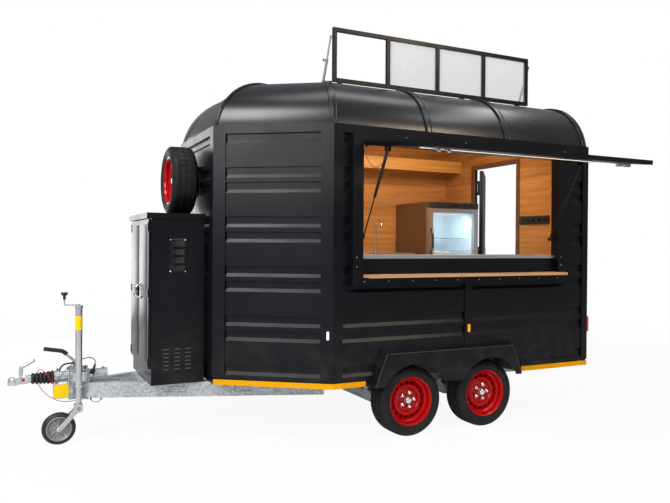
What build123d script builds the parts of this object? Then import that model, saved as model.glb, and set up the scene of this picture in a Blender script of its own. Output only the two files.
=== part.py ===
from build123d import *
from math import atan2, cos, degrees, hypot, pi, radians, sin, tan
import os

os.makedirs("parts", exist_ok=True)

# Food trailer on two axles. Millimetres, +Z up, ground at Z 0, coupling towards -X, serving side towards -Y.
# While drawing, X 0 is the corner between the serving side and the slanted front panel.

# ---------------------------------------------------------------- driving dimensions
BODY_HALF = 1025.0      # half the body's width
BODY_REAR = 2420.0      # rear face
NOSE_X = -715.0         # front face
NOSE_HALF = 512.0       # half the width of the front face
FLOOR_Z = 416.0         # underside of the body, top of the drawbar beams
FLOOR_T = 50.0
EAVE_Z = 2290.0
WALL_T = 40.0           # sandwich wall
ROOF_R = 487.0          # radius of the rounded roof edge
ROOF_INSET = 497.0      # where the rounded edge ends in the flat top
ROOF_ARC_Z = 2198.0
ROOF_T = 35.0
TRIM_T = 8.0            # posts and rails stand proud of the panels
STRIPE_H = 38.0
RAIL_GAP = 12.0         # shadow gap between the stripe and the lowest rail
PANEL_Z = (489.0, 2229.0)       # panels between the rails
MID_POST = 1169.0       # middle post of the serving side, and the same from the rear on the far side
MID_POST_HALF = 33.0

SWAGE_PITCH = 355.5     # pressed channels come in pairs at this pitch
SWAGE_FIRST = 483.5     # middle of the lowest pair
SWAGE_TOPS = (82.0, -26.0)      # top edges of a pair's channels, from the pair's middle
SWAGE_H = 76.0
SWAGE_DEEP = 14.0
SWAGE_LIP = 2.0         # rise of the steep upper edge
SWAGE_LEDGE = 25.0      # rise of the slope at the channel's foot
SWAGE_COUNT = 6
SKIN_CLEAR = 0.5        # how far the channel cutters reach out of a face

AXLE_X = (665.0, 1357.0)
TYRE_R = 265.0
TYRE_W = 195.0
WHEEL_Y = 925.0         # middle plane of each road wheel
RIM_R = 184.0
RIM_OUT = 85.0          # outer flange, from the wheel's middle plane
RIM_HOLES = 16
RIM_HOLE_R = 131.0       # circle of the vent holes
RIM_VENT = 11.0          # radius of each vent hole
RIM_BOLTS = 5
RIM_BOLT_R = 56.0

# window and hatch
FRAME_X = (129.0, 2192.0)
FRAME_Z = (1146.0, 2229.0)
FRAME_Y = 1076.0        # outer face of the window frame
OPEN_X = (213.0, 2047.0)
OPEN_Z = (1200.0, 2178.0)
SILL_Z = 1336.0         # the wall's own opening starts here
COUNTER_Z = 1361.0
FLAP_X = (219.0, 2041.0)
FLAP_PIVOT = (-1066.0, 2157.0)
FLAP_LEN = 922.0
FLAP_T = 32.0
FLAP_DROOP = 8.0        # degrees below level when open
STRUT_X = (250.0, 2010.0)
STRUT_FOOT = (-1008.0, 1491.0)
STRUT_ON_FLAP = 285.0   # distance of the upper eye from the flap's hinge
STRUT_DROP = 38.0       # upper eye below the middle of the flap
STRUT_BARREL = 356.0    # end of the barrel, from the upper eye

PIN_R = 4.0             # hinge pins, and their play in the knuckles
PIN_PLAY = 0.1

SHELF_X = (217.0, 2043.0)
SHELF_Y = (-1190.0, -1025.0)
SHELF_Z = (1203.0, 1223.0)

# rear door
DOOR_Y = (-190.0, 470.0)
DOOR_Z = (466.0, 2240.0)
DOOR_GAP = 6.0
DOOR_T = 38.0
DOOR_PIVOT = (2437.0, 476.0)
DOOR_OPEN = 139.0
DOOR_HINGE_Z = (650.0, 1350.0, 2050.0)

# sign frame on the roof
SIGN_X = (232.0, 2202.0)
SIGN_Z = (2716.0, 3141.0)
SIGN_BAR = 30.0
SIGN_PIVOT = (-497.0, 2708.0)
SIGN_EYE = 5.5           # half width of the feet's cheeks, inside the frame's sweep
PROP_FOOT = (-365.0, 2722.0)
PROP_TOP_Z = 3066.0
PROP_X = (214.0, 2220.0)
PROP_TUBE = 205.0       # end of the lower tube, from the foot
PROP_ROD_R = 7.0
SIGN_FEET_X = (297.0, 879.0, 1477.0, 2090.0)

# gas cabinet on the drawbar
CAB_X = (-1133.0, -751.0)
CAB_HALF = 389.0
CAB_TOP = 1616.0
CAB_LID = 1656.0
CAB_T = 16.0
CAB_PLINTH = 530.0
CAB_DOOR_T = 18.0
CAB_PIVOT_X = -1141.0
CAB_HINGE_Z = (585.0, 1078.0, 1554.0)

# drawbar and chassis
BEAM_W = 60.0
BEAM_Z = (305.0, 416.0)
BEAM_NOSE = (-1600.0, -30.0)    # middle line of the near beam at its front end
BEAM_KNEE = (100.0, -667.0)     # where it turns to run along the body
BEAM_END = 2330.0
RAIL_LOW = 340.0        # underside of the shallower rails behind the knees
AXLE_TUBE = 80.0
AXLE_ARM = 165.0
CROSS_MEMBERS = (       # place along the trailer and half length of each
    (-1590, 44), (-1180, 176), (-760, 330), (120, 640), (1011, 640), (1700, 640), (2300, 640),
)
FENDER_X = 985.0        # middle of the fenders
FENDER_Y = 1092.0       # their outer face
FENDER_FACE = ((-672, 410), (-578, 645), (578, 645), (672, 410))
FENDER_RIM = ((-690, 410), (-590, 672), (590, 672), (690, 410))     # where they meet the wall
FENDER_GAP = 722.0
FENDER_T = 4.0
ARCH_R = 292.0

# coupling, overrun device and jockey wheel
DRAW_Z = 460.0
BALL_X = -2020.0        # socket for a 50 mm towing ball
BALL_Z = 450.0
BALL_R = 25.2
HEAD_Z = 425.0           # underside of the coupling head
GRIP_R = 13.0
CHEEK_X = (-1660.0, -1516.0)     # side plates that clamp the housing and the jockey wheel
CHEEK_Z = (300.0, 520.0)
NOTICE_X = (-1763.0, -1654.0)
NOTICE_Z = (318.0, 424.0)
LEAD_LUG_Z = 402.0
PLUG_TOP = (-1484.0, -62.0, 520.0)
PLUG_LEAN = 20.0        # degrees, top towards the rear

# leads: their diameters, and the points of their runs
BREAKAWAY_D = 5.0
BREAKAWAY = [
    (-1534, -64, 296), (-1562, -64, 296), (-1606, -58, 288), (-1662, -42, 281), (-1716, -26, 285),
    (-1762, -12, 306), (-1800, -3, 336), (-1832, 5, 370), (-1852, 18, 405), (-1862, 45, 432),
    (-1863, 57, 472), (-1856, 38, 512), (-1840, 0, 524), (-1818, -36, 509), (-1796, -58, 480),
    (-1774, -69, 452), (-1757, -78, 430), (-1757, -78, 402),
]
PLUG_LEAD_D = 7.0
PLUG_LEAD = [
    PLUG_TOP, (-1468, -62, 563.96), (-1499, -60, 597), (-1547, -60, 594), (-1593, -62, 578),
    (-1635, -69, 556), (-1673, -78, 526), (-1705, -82, 488), (-1742, -80, 437), (-1742, -80, 402),
]
BRAKE_LEAD_D = 5.0
BRAKE_LEAD = [
    (-1506, -66, 305), (-1506, -66, 284), (-1488, -72, 268),
    (-1456, -82, 268), (-1436, -90, 284), (-1436, -90, 305),
]
STRIP_LEAD_D = 4.5      # drawn with the flap level: out from its hinge and up from it
STRIP_LEAD_X = 228.0
STRIP_LEAD = [
    (-20, -24), (-20, -60), (-44, -106), (-90, -144), (-148, -164), (-214, -160), (-272, -132), (-308, -86),
    (-318, -50), (-318, -24),
]

HOUSING_X = (-1752.0, -1385.0)
HOUSING_R = 42.0
BELLOWS_X = (-1904.0, -1752.0)
JOCKEY = (-1594.0, -121.0)
JOCKEY_R = 24.0
CRANK_ARM = 97.0         # from the tube's axis to the knob
CRANK_R = 5.0
JOCKEY_AXLE = (-1726.0, 114.0)
FORK_TOP = 250.0
FORK_HEAD = 30.0         # radius of the fork plates' round upper ends
JOCKEY_WHEEL_R = 114.0
JOCKEY_WHEEL_W = 58.0

SPARE_X = -854.0        # middle plane of the spare wheel
SPARE_Z = 1926.0

MARKER_W = 20.0         # side and front marker lamps
MARKER_H = 60.0
MARKER_T = 12.0
MARKER_Z = 794.0
MARKER_IN = 32.0        # from the body's corner, on the slanted panels
TAIL_Y = (-1015.0, -915.0)
TAIL_Z = (700.0, 830.0)
TAIL_T = 38.0

# inside
FRIDGE_X = (1722.0, 2342.0)
FRIDGE_Y = (400.0, 981.0)
FRIDGE_TOP = 1877.0
FRIDGE_DOOR_Y = (350.0, 396.0)
FRIDGE_PIVOT = (2328.0, 368.0)
BENCH_FRONT = 560.0
BENCH_X = (-60.0, 1700.0)
BENCH_TOP = 40.0
BOARD_T = 18.0
SINK_X = (1010.0, 1290.0)
SINK_Y = (640.0, 900.0)
SINK_DEEP = 156.0
SINK_T = 4.0
SINK_RIM = 22.0
TAP_PLACE = (1352.0, 770.0)
TAP_REACH = 60.0
TAP_HIGH = 265.0
HOOD_Y = 700.0
HOOD_Z = (2224.0, 2345.0)
WHEEL_BOX_Y = 790.0     # inner side of the closed boxes over the wheels


# ---------------------------------------------------------------- helpers
def box(x, y, z):
    """Box between the lowest and highest X, Y and Z."""
    size = [b - a for a, b in (x, y, z)]
    mid = [(a + b) / 2 for a, b in (x, y, z)]
    return Pos(*mid) * Box(*size)


def prism(points, z0, z1):
    """Upright prism over a closed outline in X, Y."""
    face = make_face(Polyline(*[(x, y) for x, y in points], close=True))
    return Pos(0, 0, z0) * extrude(face, amount=z1 - z0, dir=(0, 0, 1))


def rod(a, b, radius):
    """Round bar from point a to point b."""
    start, end = Vector(*a), Vector(*b)
    axis = end - start
    plane = Plane(origin=start, z_dir=axis.normalized())
    return extrude(plane * Circle(radius), amount=axis.length)


def bar(a, b, width, height):
    """Square bar from a to b, level across."""
    start, end = Vector(*a), Vector(*b)
    axis = end - start
    side = Vector(0, 0, 1).cross(axis)
    side = side.normalized() if side.length > 1e-6 else Vector(0, 1, 0)
    plane = Plane(origin=start, x_dir=side, z_dir=axis.normalized())
    return extrude(plane * Rectangle(width, height), amount=axis.length)


def turned(profile, origin, axis):
    """Solid of revolution from (radius, along) points about an axis through origin."""
    outline = make_face(Polyline(*[(r, 0, s) for r, s in profile], close=True))
    solid = revolve(outline, axis=Axis.Z)
    return Plane(origin=origin, z_dir=axis) * solid


def cord(name, points, diameter):
    """Round cord along straight runs joined by arcs as large as the runs allow."""
    points = [Vector(*p) for p in points]
    radii = []
    for a, b, c in zip(points, points[1:], points[2:]):
        turn = radians((b - a).get_angle(c - b))
        radii.append(0.45 * min((b - a).length, (c - b).length) / tan(turn / 2))
    print(name, "arc radii", [round(r) for r in radii], "in diameters", round(min(radii) / diameter, 1))
    path = FilletPolyline(*points, radius=radii)
    start = Plane(origin=points[0], z_dir=points[1] - points[0])
    tube = sweep(start * Circle(diameter / 2), path=path)
    print(name, "length", round(path.length), "volume ratio",
          round(tube.volume / (path.length * pi * diameter ** 2 / 4), 3))
    return tube


def both_sides(solid):
    """The solid and its mirror image across the middle of the trailer."""
    return solid + mirror(solid, about=Plane.XZ)


def offset_outline(points, amount):
    """Convex outline moved outwards by amount (inwards when negative)."""
    lines = []
    for k, (x, y) in enumerate(points):
        u, v = points[(k + 1) % len(points)]
        run = hypot(u - x, v - y)
        nx, ny = (v - y) / run, -(u - x) / run
        lines.append((nx, ny, nx * x + ny * y + amount))
    moved = []
    for k in range(len(points)):
        a, b, c = lines[k - 1]
        d, e, f = lines[k]
        det = a * e - b * d
        moved.append(((c * e - b * f) / det, (a * f - c * d) / det))
    return moved


# plan of the body, anticlockwise seen from above
PLAN = [
    (BODY_REAR, -BODY_HALF), (BODY_REAR, BODY_HALF), (0.0, BODY_HALF),
    (NOSE_X, NOSE_HALF), (NOSE_X, -NOSE_HALF), (0.0, -BODY_HALF),
]
INNER = offset_outline(PLAN, -WALL_T)
FACES = {"rear": 0, "far": 1, "angled_far": 2, "front": 3, "angled_near": 4, "serving": 5}


def face_plane(name, z=0.0):
    """Plane on a wall's outer face: X runs along the wall, Y is up, Z points outwards."""
    k = FACES[name]
    a, b = Vector(*PLAN[k]), Vector(*PLAN[(k + 1) % 6])
    along = (b - a).normalized()
    return Plane(origin=(a.X, a.Y, z), x_dir=along, z_dir=along.cross(Vector(0, 0, 1)))


def face_length(name):
    """Length of a wall's outer face."""
    k = FACES[name]
    (x, y), (u, v) = PLAN[k], PLAN[(k + 1) % 6]
    return hypot(u - x, v - y)


# ---------------------------------------------------------------- body shell
def swage_cutter(name, z_low, z_high):
    """Pressed channels across a whole wall, between two heights."""
    plane = face_plane(name)
    length = face_length(name)
    cutters = []
    for k in range(SWAGE_COUNT):
        for top in SWAGE_TOPS:
            hi = SWAGE_FIRST + SWAGE_PITCH * k + top
            lo = hi - SWAGE_H
            if lo < z_low or hi > z_high:
                continue
            section = [
                (lo, SKIN_CLEAR), (hi, SKIN_CLEAR), (hi, 0.0),
                (hi - SWAGE_LIP, -SWAGE_DEEP), (lo + SWAGE_LEDGE, -SWAGE_DEEP), (lo, 0.0),
            ]
            side_plane = Plane(origin=plane.origin, x_dir=(0, 0, 1), z_dir=plane.x_dir)
            outward = side_plane.y_dir.dot(plane.z_dir)
            outline = Polyline(*[(up, out * outward) for up, out in section], close=True)
            cutters.append(extrude(side_plane * make_face(outline), amount=length))
    return cutters


def wall(name):
    """Plain sandwich wall from the body's underside to the eave, mitred at both ends."""
    k = FACES[name]
    n = (k + 1) % 6
    return prism([PLAN[k], PLAN[n], INNER[n], INNER[k]], FLOOR_Z, EAVE_Z)


def swaged_wall(name, z_low=FLOOR_Z, z_high=EAVE_Z):
    return wall(name) - swage_cutter(name, z_low, z_high)


def wheel_arch(y0, y1):
    """Room for both wheels of one side: a low trapezium through wall and floor."""
    mid = sum(AXLE_X) / 2
    points = [(mid - 655, FLOOR_Z - 1), (mid + 655, FLOOR_Z - 1), (mid + 560, 600), (mid - 560, 600)]
    face = make_face(Polyline(*[(x, 0, z) for x, z in points], close=True))
    return Pos(0, y0, 0) * extrude(face, amount=y1 - y0, dir=(0, 1, 0))


def serving_wall():
    """Wall with the window cut and flat behind the window frame, open over the wheels."""
    panel = wall("serving")
    grooves = swage_cutter("serving", FLOOR_Z, EAVE_Z)
    keep_flat = box(FRAME_X, (-BODY_HALF - 5, -BODY_HALF + 20), (FRAME_Z[0], EAVE_Z))
    panel -= [g - keep_flat for g in grooves]
    panel -= box(OPEN_X, (-BODY_HALF - 5, -BODY_HALF + WALL_T + 5), (SILL_Z, OPEN_Z[1]))
    return panel - wheel_arch(-BODY_HALF - 5, -BODY_HALF + WALL_T + 5)


def far_wall():
    return swaged_wall("far") - wheel_arch(BODY_HALF - WALL_T - 5, BODY_HALF + 5)


def roof_section(extra=0.0):
    """Half-section heights of the roof as a closed outline in (inset, z)."""
    r = ROOF_R + extra
    rise = EAVE_Z - ROOF_ARC_Z
    start = ROOF_INSET - (r * r - rise * rise) ** 0.5
    a0 = degrees(atan2(rise, ROOF_INSET - start))
    mid = radians((a0 + 90) / 2)
    knee = (ROOF_INSET - r * cos(mid), ROOF_ARC_Z + r * sin(mid))
    return start, knee, ROOF_ARC_Z + r


def roof_face(half_run, extra):
    """Roof section across a run: rounded at the near end, flat to half_run."""
    start, knee, top = roof_section(extra)
    arc = ThreePointArc((start, EAVE_Z), knee, (ROOF_INSET, top))
    rest = Polyline((ROOF_INSET, top), (half_run, top), (half_run, EAVE_Z), (start, EAVE_Z))
    return make_face([arc, rest])


def roof_core(extra=0.0):
    """Solid under the roof's outer skin moved out by extra: each wall's rounded run cut by the next."""
    core = None
    for name in ("serving", "far", "front", "angled_near", "angled_far"):
        plane = face_plane(name)
        inward = plane.z_dir * -1
        start = plane.origin - plane.x_dir * 4000
        section = Plane(origin=start, x_dir=inward, z_dir=inward.cross(Vector(0, 0, 1)))
        run = extrude(section * roof_face(4000.0, extra), amount=12000 * plane.x_dir.dot(section.z_dir))
        core = run if core is None else core & run
    return core & box((NOSE_X - 50, BODY_REAR), (-1100, 1100), (EAVE_Z, 2900))


def roof():
    """Roof shell with its raised ribs; the rear gable is part of the rear wall."""
    shell = roof_core() - roof_core(-ROOF_T)
    skin = roof_core(10.0) - roof_core()
    bands = [box((x, x + 50), (-1100, 1100), (EAVE_Z, 2900)) for x in (780.0, 1530.0, BODY_REAR - 50)]
    slant = degrees(atan2(BODY_HALF - NOSE_HALF, -NOSE_X))
    # mitre between the slanted panel and the side, then between it and the front
    mitres = ((0, BODY_HALF, slant / 2, 56), (NOSE_X, NOSE_HALF, 45 + slant / 2, 22))
    for side in (-1, 1):
        for x, y, turn, width in mitres:
            place = Pos(x, side * y, EAVE_Z + 300)
            bands.append(place * Rot(0, 0, side * turn) * Box(width, 1190, 800))
    for band in bands:
        shell += skin & band
    return shell


def gable():
    """Arched top of the rear wall, filling the roof shell's end."""
    start, knee, top = roof_section(-ROOF_T)
    half = BODY_HALF
    left = ThreePointArc((-half + start, EAVE_Z), (-half + knee[0], knee[1]), (-half + ROOF_INSET, top))
    right = ThreePointArc((half - ROOF_INSET, top), (half - knee[0], knee[1]), (half - start, EAVE_Z))
    line = Line((-half + ROOF_INSET, top), (half - ROOF_INSET, top))
    base = Line((half - start, EAVE_Z), (-half + start, EAVE_Z))
    face = make_face([left, line, right, base])
    return extrude(Plane(origin=(BODY_REAR, 0, 0), x_dir=(0, 1, 0), z_dir=(1, 0, 0)) * face, amount=-WALL_T)


def rear_wall():
    """Rear wall and gable in one, with the doorway cut."""
    panel = wall("rear") + gable()
    return panel - box((BODY_REAR - 60, BODY_REAR + 60), DOOR_Y, DOOR_Z)


def body_frame():
    """Posts on the corners, rails at top and bottom, and a middle post on each long side."""
    skin = offset_outline(PLAN, TRIM_T)
    ring = prism(skin, FLOOR_Z + STRIPE_H + RAIL_GAP, EAVE_Z) - prism(PLAN, FLOOR_Z, EAVE_Z + 1)
    windows = []
    low, high = PANEL_Z
    posts = {"rear": (55, 55), "far": (55, 72), "angled_far": (88, 88), "front": (88, 88),
             "angled_near": (88, 88), "serving": (72, 55)}
    for name, (first, last) in posts.items():
        plane = face_plane(name)
        length = face_length(name)
        spans = [(first, length - last)]
        if name in ("serving", "far"):
            mid = MID_POST if name == "serving" else BODY_REAR - MID_POST
            spans = [(first, mid - MID_POST_HALF), (mid + MID_POST_HALF, length - last)]
        for a, b in spans:
            cut = Pos((a + b) / 2, (low + high) / 2, 0) * Box(b - a, high - low, 60)
            windows.append(plane * cut)
    ring -= windows
    ring -= box(FRAME_X, (-BODY_HALF - 20, -BODY_HALF), FRAME_Z)
    ring -= box((BODY_REAR - 1, BODY_REAR + 20), (DOOR_Y[0] - 20, DOOR_Y[1] + 20), (FLOOR_Z, DOOR_Z[1] + 20))
    return ring - fender_gap()


def fender_gap():
    """Room for both fenders in whatever runs along the foot of the sides."""
    x = (FENDER_X - FENDER_GAP, FENDER_X + FENDER_GAP)
    return both_sides(box(x, (-BODY_HALF - 20, -BODY_HALF), (FLOOR_Z, 690)))


def edge_stripe():
    """Coloured strip round the foot of the sides and the rear, broken at the fenders."""
    band = prism(offset_outline(PLAN, TRIM_T), FLOOR_Z, FLOOR_Z + STRIPE_H) - prism(PLAN, FLOOR_Z, EAVE_Z)
    band -= box((NOSE_X - 20, NOSE_X), (-BODY_HALF, BODY_HALF), (FLOOR_Z, EAVE_Z))
    return band - fender_gap()


def floor():
    """Floor panel inside the walls with a closed box over each pair of wheels."""
    slab = prism(INNER, FLOOR_Z, FLOOR_Z + FLOOR_T)
    inner_y = BODY_HALF - WALL_T
    hollow = wheel_arch(-inner_y, -WHEEL_BOX_Y)
    cover_points = []
    mid = sum(AXLE_X) / 2
    for x, z in ((-670, FLOOR_Z), (670, FLOOR_Z), (572, 615), (-572, 615)):
        cover_points.append((mid + x, 0, z))
    cover = make_face(Polyline(*cover_points, close=True))
    cover = Pos(0, -inner_y, 0) * extrude(cover, amount=inner_y - WHEEL_BOX_Y + 12, dir=(0, 1, 0))
    slab += both_sides(cover)
    return slab - both_sides(hollow)


# ---------------------------------------------------------------- window, hatch and counter
def window_frame():
    """Deep frame round the serving window."""
    frame = box(FRAME_X, (-FRAME_Y, -BODY_HALF), FRAME_Z)
    frame -= box(OPEN_X, (-FRAME_Y - 5, -BODY_HALF + 5), OPEN_Z)
    hinge_y, hinge_z = FLAP_PIVOT
    frame += box(FLAP_X, (hinge_y - 3, hinge_y + 3), (hinge_z + 10, OPEN_Z[1]))
    y, z = STRUT_FOOT
    for jamb, inward, eye in ((OPEN_X[0], 1, STRUT_X[0] - 7), (OPEN_X[1], -1, STRUT_X[1] + 7)):
        # hinge pin of the flap, then a tongue with the pin for the strut's foot
        frame += rod((jamb - 4 * inward, hinge_y, hinge_z), (jamb + 16 * inward, hinge_y, hinge_z), PIN_R)
        frame += box(sorted((jamb, jamb + 6 * inward)), (-BODY_HALF - 15, y + 12), (z - 16, z + 16))
        frame += rod((jamb, y, z), (eye, y, z), PIN_R)
    return frame


def serving_counter():
    """Steel counter: through the window and along the wall inside."""
    inside = box((40, 2375), (-985, -640), (SILL_Z, COUNTER_Z))
    through = box((OPEN_X[0] + 1, OPEN_X[1] - 1), (-1035, -985), (SILL_Z, COUNTER_Z))
    return inside + through


def shelf_board():
    return box(SHELF_X, SHELF_Y, SHELF_Z)


def flap():
    """Hatch flap, drawn level towards -Y from its hinge, then set to its open angle."""
    y, z = FLAP_PIVOT
    leaf = box(FLAP_X, (y - FLAP_LEN, y - 10), (z - FLAP_T / 2, z + FLAP_T / 2))
    leaf += rod((FLAP_X[0], y, z), (FLAP_X[1], y, z), 9)
    leaf += box(FLAP_X, (y - 12, y), (z - 4, z + 4))
    for x in STRUT_X:
        leaf += box((x - 24, x + 24), (y - STRUT_ON_FLAP - 25, y - STRUT_ON_FLAP + 25), (z - 20, z - 15))
    for out, down in (STRIP_LEAD[0], STRIP_LEAD[-1]):
        clip_x = (FLAP_X[0] + 1, STRIP_LEAD_X + 8)
        leaf += box(clip_x, (y + out - 6, y + out + 6), (z + down, z - FLAP_T / 2))
    for x in FLAP_X:
        leaf -= rod((x - 14, y, z), (x + 14, y, z), PIN_R + PIN_PLAY)
    return hinge_open(leaf)


def hinge_open(solid):
    """Turn about the flap's hinge from level to the open angle."""
    return solid.rotate(Axis((0, *FLAP_PIVOT), (1, 0, 0)), FLAP_DROOP)


def strut_top():
    """Place of the struts' upper eyes with the flap open."""
    a = radians(FLAP_DROOP)
    y, z = -STRUT_ON_FLAP, -STRUT_DROP
    return FLAP_PIVOT[0] + y * cos(a) - z * sin(a), FLAP_PIVOT[1] + y * sin(a) + z * cos(a)


def strut_dir():
    """Unit vector from the upper eye to the foot, and the distance between them."""
    y, z = strut_top()
    dy, dz = STRUT_FOOT[0] - y, STRUT_FOOT[1] - z
    run = hypot(dy, dz)
    return dy / run, dz / run, run


def along_strut(x, distance):
    y, z = strut_top()
    dy, dz, _ = strut_dir()
    return x, y + dy * distance, z + dz * distance


def strut_barrels():
    """Both gas strut barrels, hollow for the rods, with an eye at the flap."""
    solid = Part()
    for x in STRUT_X:
        tube = rod(along_strut(x, 8), along_strut(x, STRUT_BARREL), 11)
        tube -= rod(along_strut(x, 24), along_strut(x, STRUT_BARREL + 1), 5.6)
        y, z = strut_top()
        eye = rod((x - 6, y, z), (x + 6, y, z), 12) - rod((x - 7, y, z), (x + 7, y, z), 4.3)
        solid += tube - rod((x - 7, y, z), (x + 7, y, z), 4.3) + eye
    return solid


def strut_rods():
    """Both strut rods, ending in an eye beside the foot pin."""
    solid = Part()
    _, _, run = strut_dir()
    for x in STRUT_X:
        shaft = rod(along_strut(x, STRUT_BARREL - 31), along_strut(x, run - 9), 5)
        y, z = STRUT_FOOT
        eye = rod((x - 6, y, z), (x + 6, y, z), 11)
        solid += shaft + eye
    return solid


def flap_pins():
    """Lugs and pins under the flap that carry the struts' upper eyes."""
    y, z = FLAP_PIVOT[0] - STRUT_ON_FLAP, FLAP_PIVOT[1]
    lugs = Part()
    for x in STRUT_X:
        lugs += rod((x - 17, y, z - STRUT_DROP), (x + 17, y, z - STRUT_DROP), 4.2)
        for side in (-1, 1):
            ear = sorted((x + side * 13, x + side * 18))
            lugs += box(ear, (y - 13, y + 13), (z - STRUT_DROP - 12, z - FLAP_T / 2))
    return hinge_open(lugs)


# ---------------------------------------------------------------- rear door
def rear_door():
    """Door leaf drawn closed, then swung open about its outer pin."""
    gap = DOOR_GAP
    leaf = box((BODY_REAR - 32, BODY_REAR - 32 + DOOR_T), (DOOR_Y[0] + gap, DOOR_Y[1] - gap),
               (DOOR_Z[0] + gap, DOOR_Z[1] - gap))
    x, y = DOOR_PIVOT
    for z in DOOR_HINGE_Z:
        leaf += box((BODY_REAR + 4, x), (y - 60, y - 2), (z - 45, z + 45))
        leaf += rod((x, y, z - 45), (x, y, z + 45), 8)
        leaf -= rod((x, y, z - 46), (x, y, z + 46), PIN_R + PIN_PLAY)
    leaf += box((BODY_REAR + 6, BODY_REAR + 30), (DOOR_Y[0] + 50, DOOR_Y[0] + 75), (1250, 1400))
    return leaf.rotate(Axis((x, y, 0), (0, 0, 1)), DOOR_OPEN)


def door_hinges():
    """Hinge lugs on the rear wall with their pins, above and below each of the leaf's knuckles."""
    x, y = DOOR_PIVOT
    lugs = Part()
    for z in DOOR_HINGE_Z:
        for low in (z - 75, z + 46):
            lugs += box((BODY_REAR - 2, x + 8), (y - 6, y + 46), (low, low + 29))
        lugs += rod((x, y, z - 50), (x, y, z + 50), PIN_R)
    return lugs


# ---------------------------------------------------------------- sign frame
def sign_frame():
    """Open frame with three mullions, standing on lugs that hinge at the roof feet."""
    y = (SIGN_PIVOT[0] - SIGN_BAR, SIGN_PIVOT[0])
    frame = box(SIGN_X, y, SIGN_Z)
    cells = 4
    pitch = (SIGN_X[1] - SIGN_X[0] - SIGN_BAR) / cells
    for k in range(cells):
        x0 = SIGN_X[0] + SIGN_BAR + pitch * k
        cell_z = (SIGN_Z[0] + SIGN_BAR, SIGN_Z[1] - SIGN_BAR)
        frame -= box((x0, x0 + pitch - SIGN_BAR), (y[0] - 1, y[1] + 1), cell_z)
    for x in SIGN_FEET_X:
        frame += box((x - 14, x + 14), y, (SIGN_PIVOT[1] - 4, SIGN_Z[0]))
        frame += rod((x - 14, *SIGN_PIVOT), (x + 14, *SIGN_PIVOT), 7)
        frame -= rod((x - 15, *SIGN_PIVOT), (x + 15, *SIGN_PIVOT), PIN_R + PIN_PLAY)
    middle = (y[0] + y[1]) / 2
    for post, eye in ((SIGN_X[0], PROP_X[0] + 7.5), (SIGN_X[1], PROP_X[1] - 7.5)):
        frame += rod((post, middle, PROP_TOP_Z), (eye, middle, PROP_TOP_Z), PIN_R)
    return frame


def sign_feet():
    """Roof feet with hinge pins for the frame, and a foot under each prop."""
    top = ROOF_ARC_Z + ROOF_R
    feet = Part()
    y, z = SIGN_PIVOT
    for x in SIGN_FEET_X:
        foot = box((x - 32, x + 32), (y - 22, y + 22), (top, top + 5))
        for side in (-1, 1):
            cheek = sorted((x + side * 16, x + side * 22))
            foot += box(cheek, (y - SIGN_EYE, y + SIGN_EYE), (top + 5, z + SIGN_EYE))
        foot += rod((x - 22, y, z), (x + 22, y, z), PIN_R)
        feet += foot
    y, z = PROP_FOOT
    for x in PROP_X:
        foot = box((x - 26, x + 26), (y - 25, y + 25), (top, top + 5))
        for side in (-1, 1):
            foot += box(sorted((x + side * 13, x + side * 18)), (y - 9, y + 9), (top + 5, z + 9))
        foot += rod((x - 18, y, z), (x + 18, y, z), PIN_R)
        feet += foot
    return feet


def prop_vector():
    """Unit vector up the props and their length with the frame upright."""
    y, z = SIGN_PIVOT[0] - SIGN_BAR / 2, PROP_TOP_Z
    dy, dz = y - PROP_FOOT[0], z - PROP_FOOT[1]
    run = hypot(dy, dz)
    return dy / run, dz / run, run


def along_prop(x, distance):
    dy, dz, _ = prop_vector()
    return x, PROP_FOOT[0] + dy * distance, PROP_FOOT[1] + dz * distance


def prop_tubes():
    """Lower tubes of the sign's props, with an eye on the roof foot and a clamp knob."""
    solid = Part()
    for x in PROP_X:
        y, z = PROP_FOOT
        tube = rod(along_prop(x, 8), along_prop(x, PROP_TUBE), 10.5)
        tube += rod((x - 9, y, z), (x + 9, y, z), 11)
        tube += rod(along_prop(x, PROP_TUBE - 24), along_prop(x, PROP_TUBE), 12)
        tube -= rod((x - 10, y, z), (x + 10, y, z), 4.1)
        tube -= rod(along_prop(x, 22), along_prop(x, PROP_TUBE + 1), PROP_ROD_R + 0.3)
        solid += tube
    return solid


def prop_rods():
    """Upper rods of the props, ending in an eye beside the frame's end posts."""
    solid = Part()
    _, _, run = prop_vector()
    for x in PROP_X:
        shaft = rod(along_prop(x, 188), along_prop(x, run), PROP_ROD_R)
        end = along_prop(x, run)
        eye = rod((x - 5, end[1], end[2]), (x + 5, end[1], end[2]), 10)
        solid += shaft + eye
    return solid


# ---------------------------------------------------------------- gas cabinet
def gas_cabinet():
    """Sheet steel cabinet on the drawbar with a lid, open at the front for its doors."""
    x0, x1 = CAB_X
    h = CAB_HALF
    shell = box((x0, x1), (-h, h), (FLOOR_Z, CAB_TOP))
    shell -= box((x0 + 2, x1 - CAB_T), (-h + CAB_T, h - CAB_T), (FLOOR_Z + CAB_T, CAB_TOP - CAB_T))
    shell -= box((x0 - 1, x0 + 30), (-h + CAB_T, h - CAB_T), (CAB_PLINTH, CAB_TOP - CAB_T))
    lid = box((x0 - 34, x1 + 8), (-h - 9, h + 9), (CAB_TOP, CAB_LID))
    x = CAB_PIVOT_X
    lugs = Part()
    for z in CAB_HINGE_Z:
        for side in (-1, 1):
            y = sorted((side * (h - 8), side * (h + 6)))
            for low in (z - 45, z + 21):
                lugs += box((x - 5, x0 + 12), y, (low, low + 24))
            lugs += rod((x, side * h, z - 24), (x, side * h, z + 24), 3)
    return shell + lid + lugs


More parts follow.
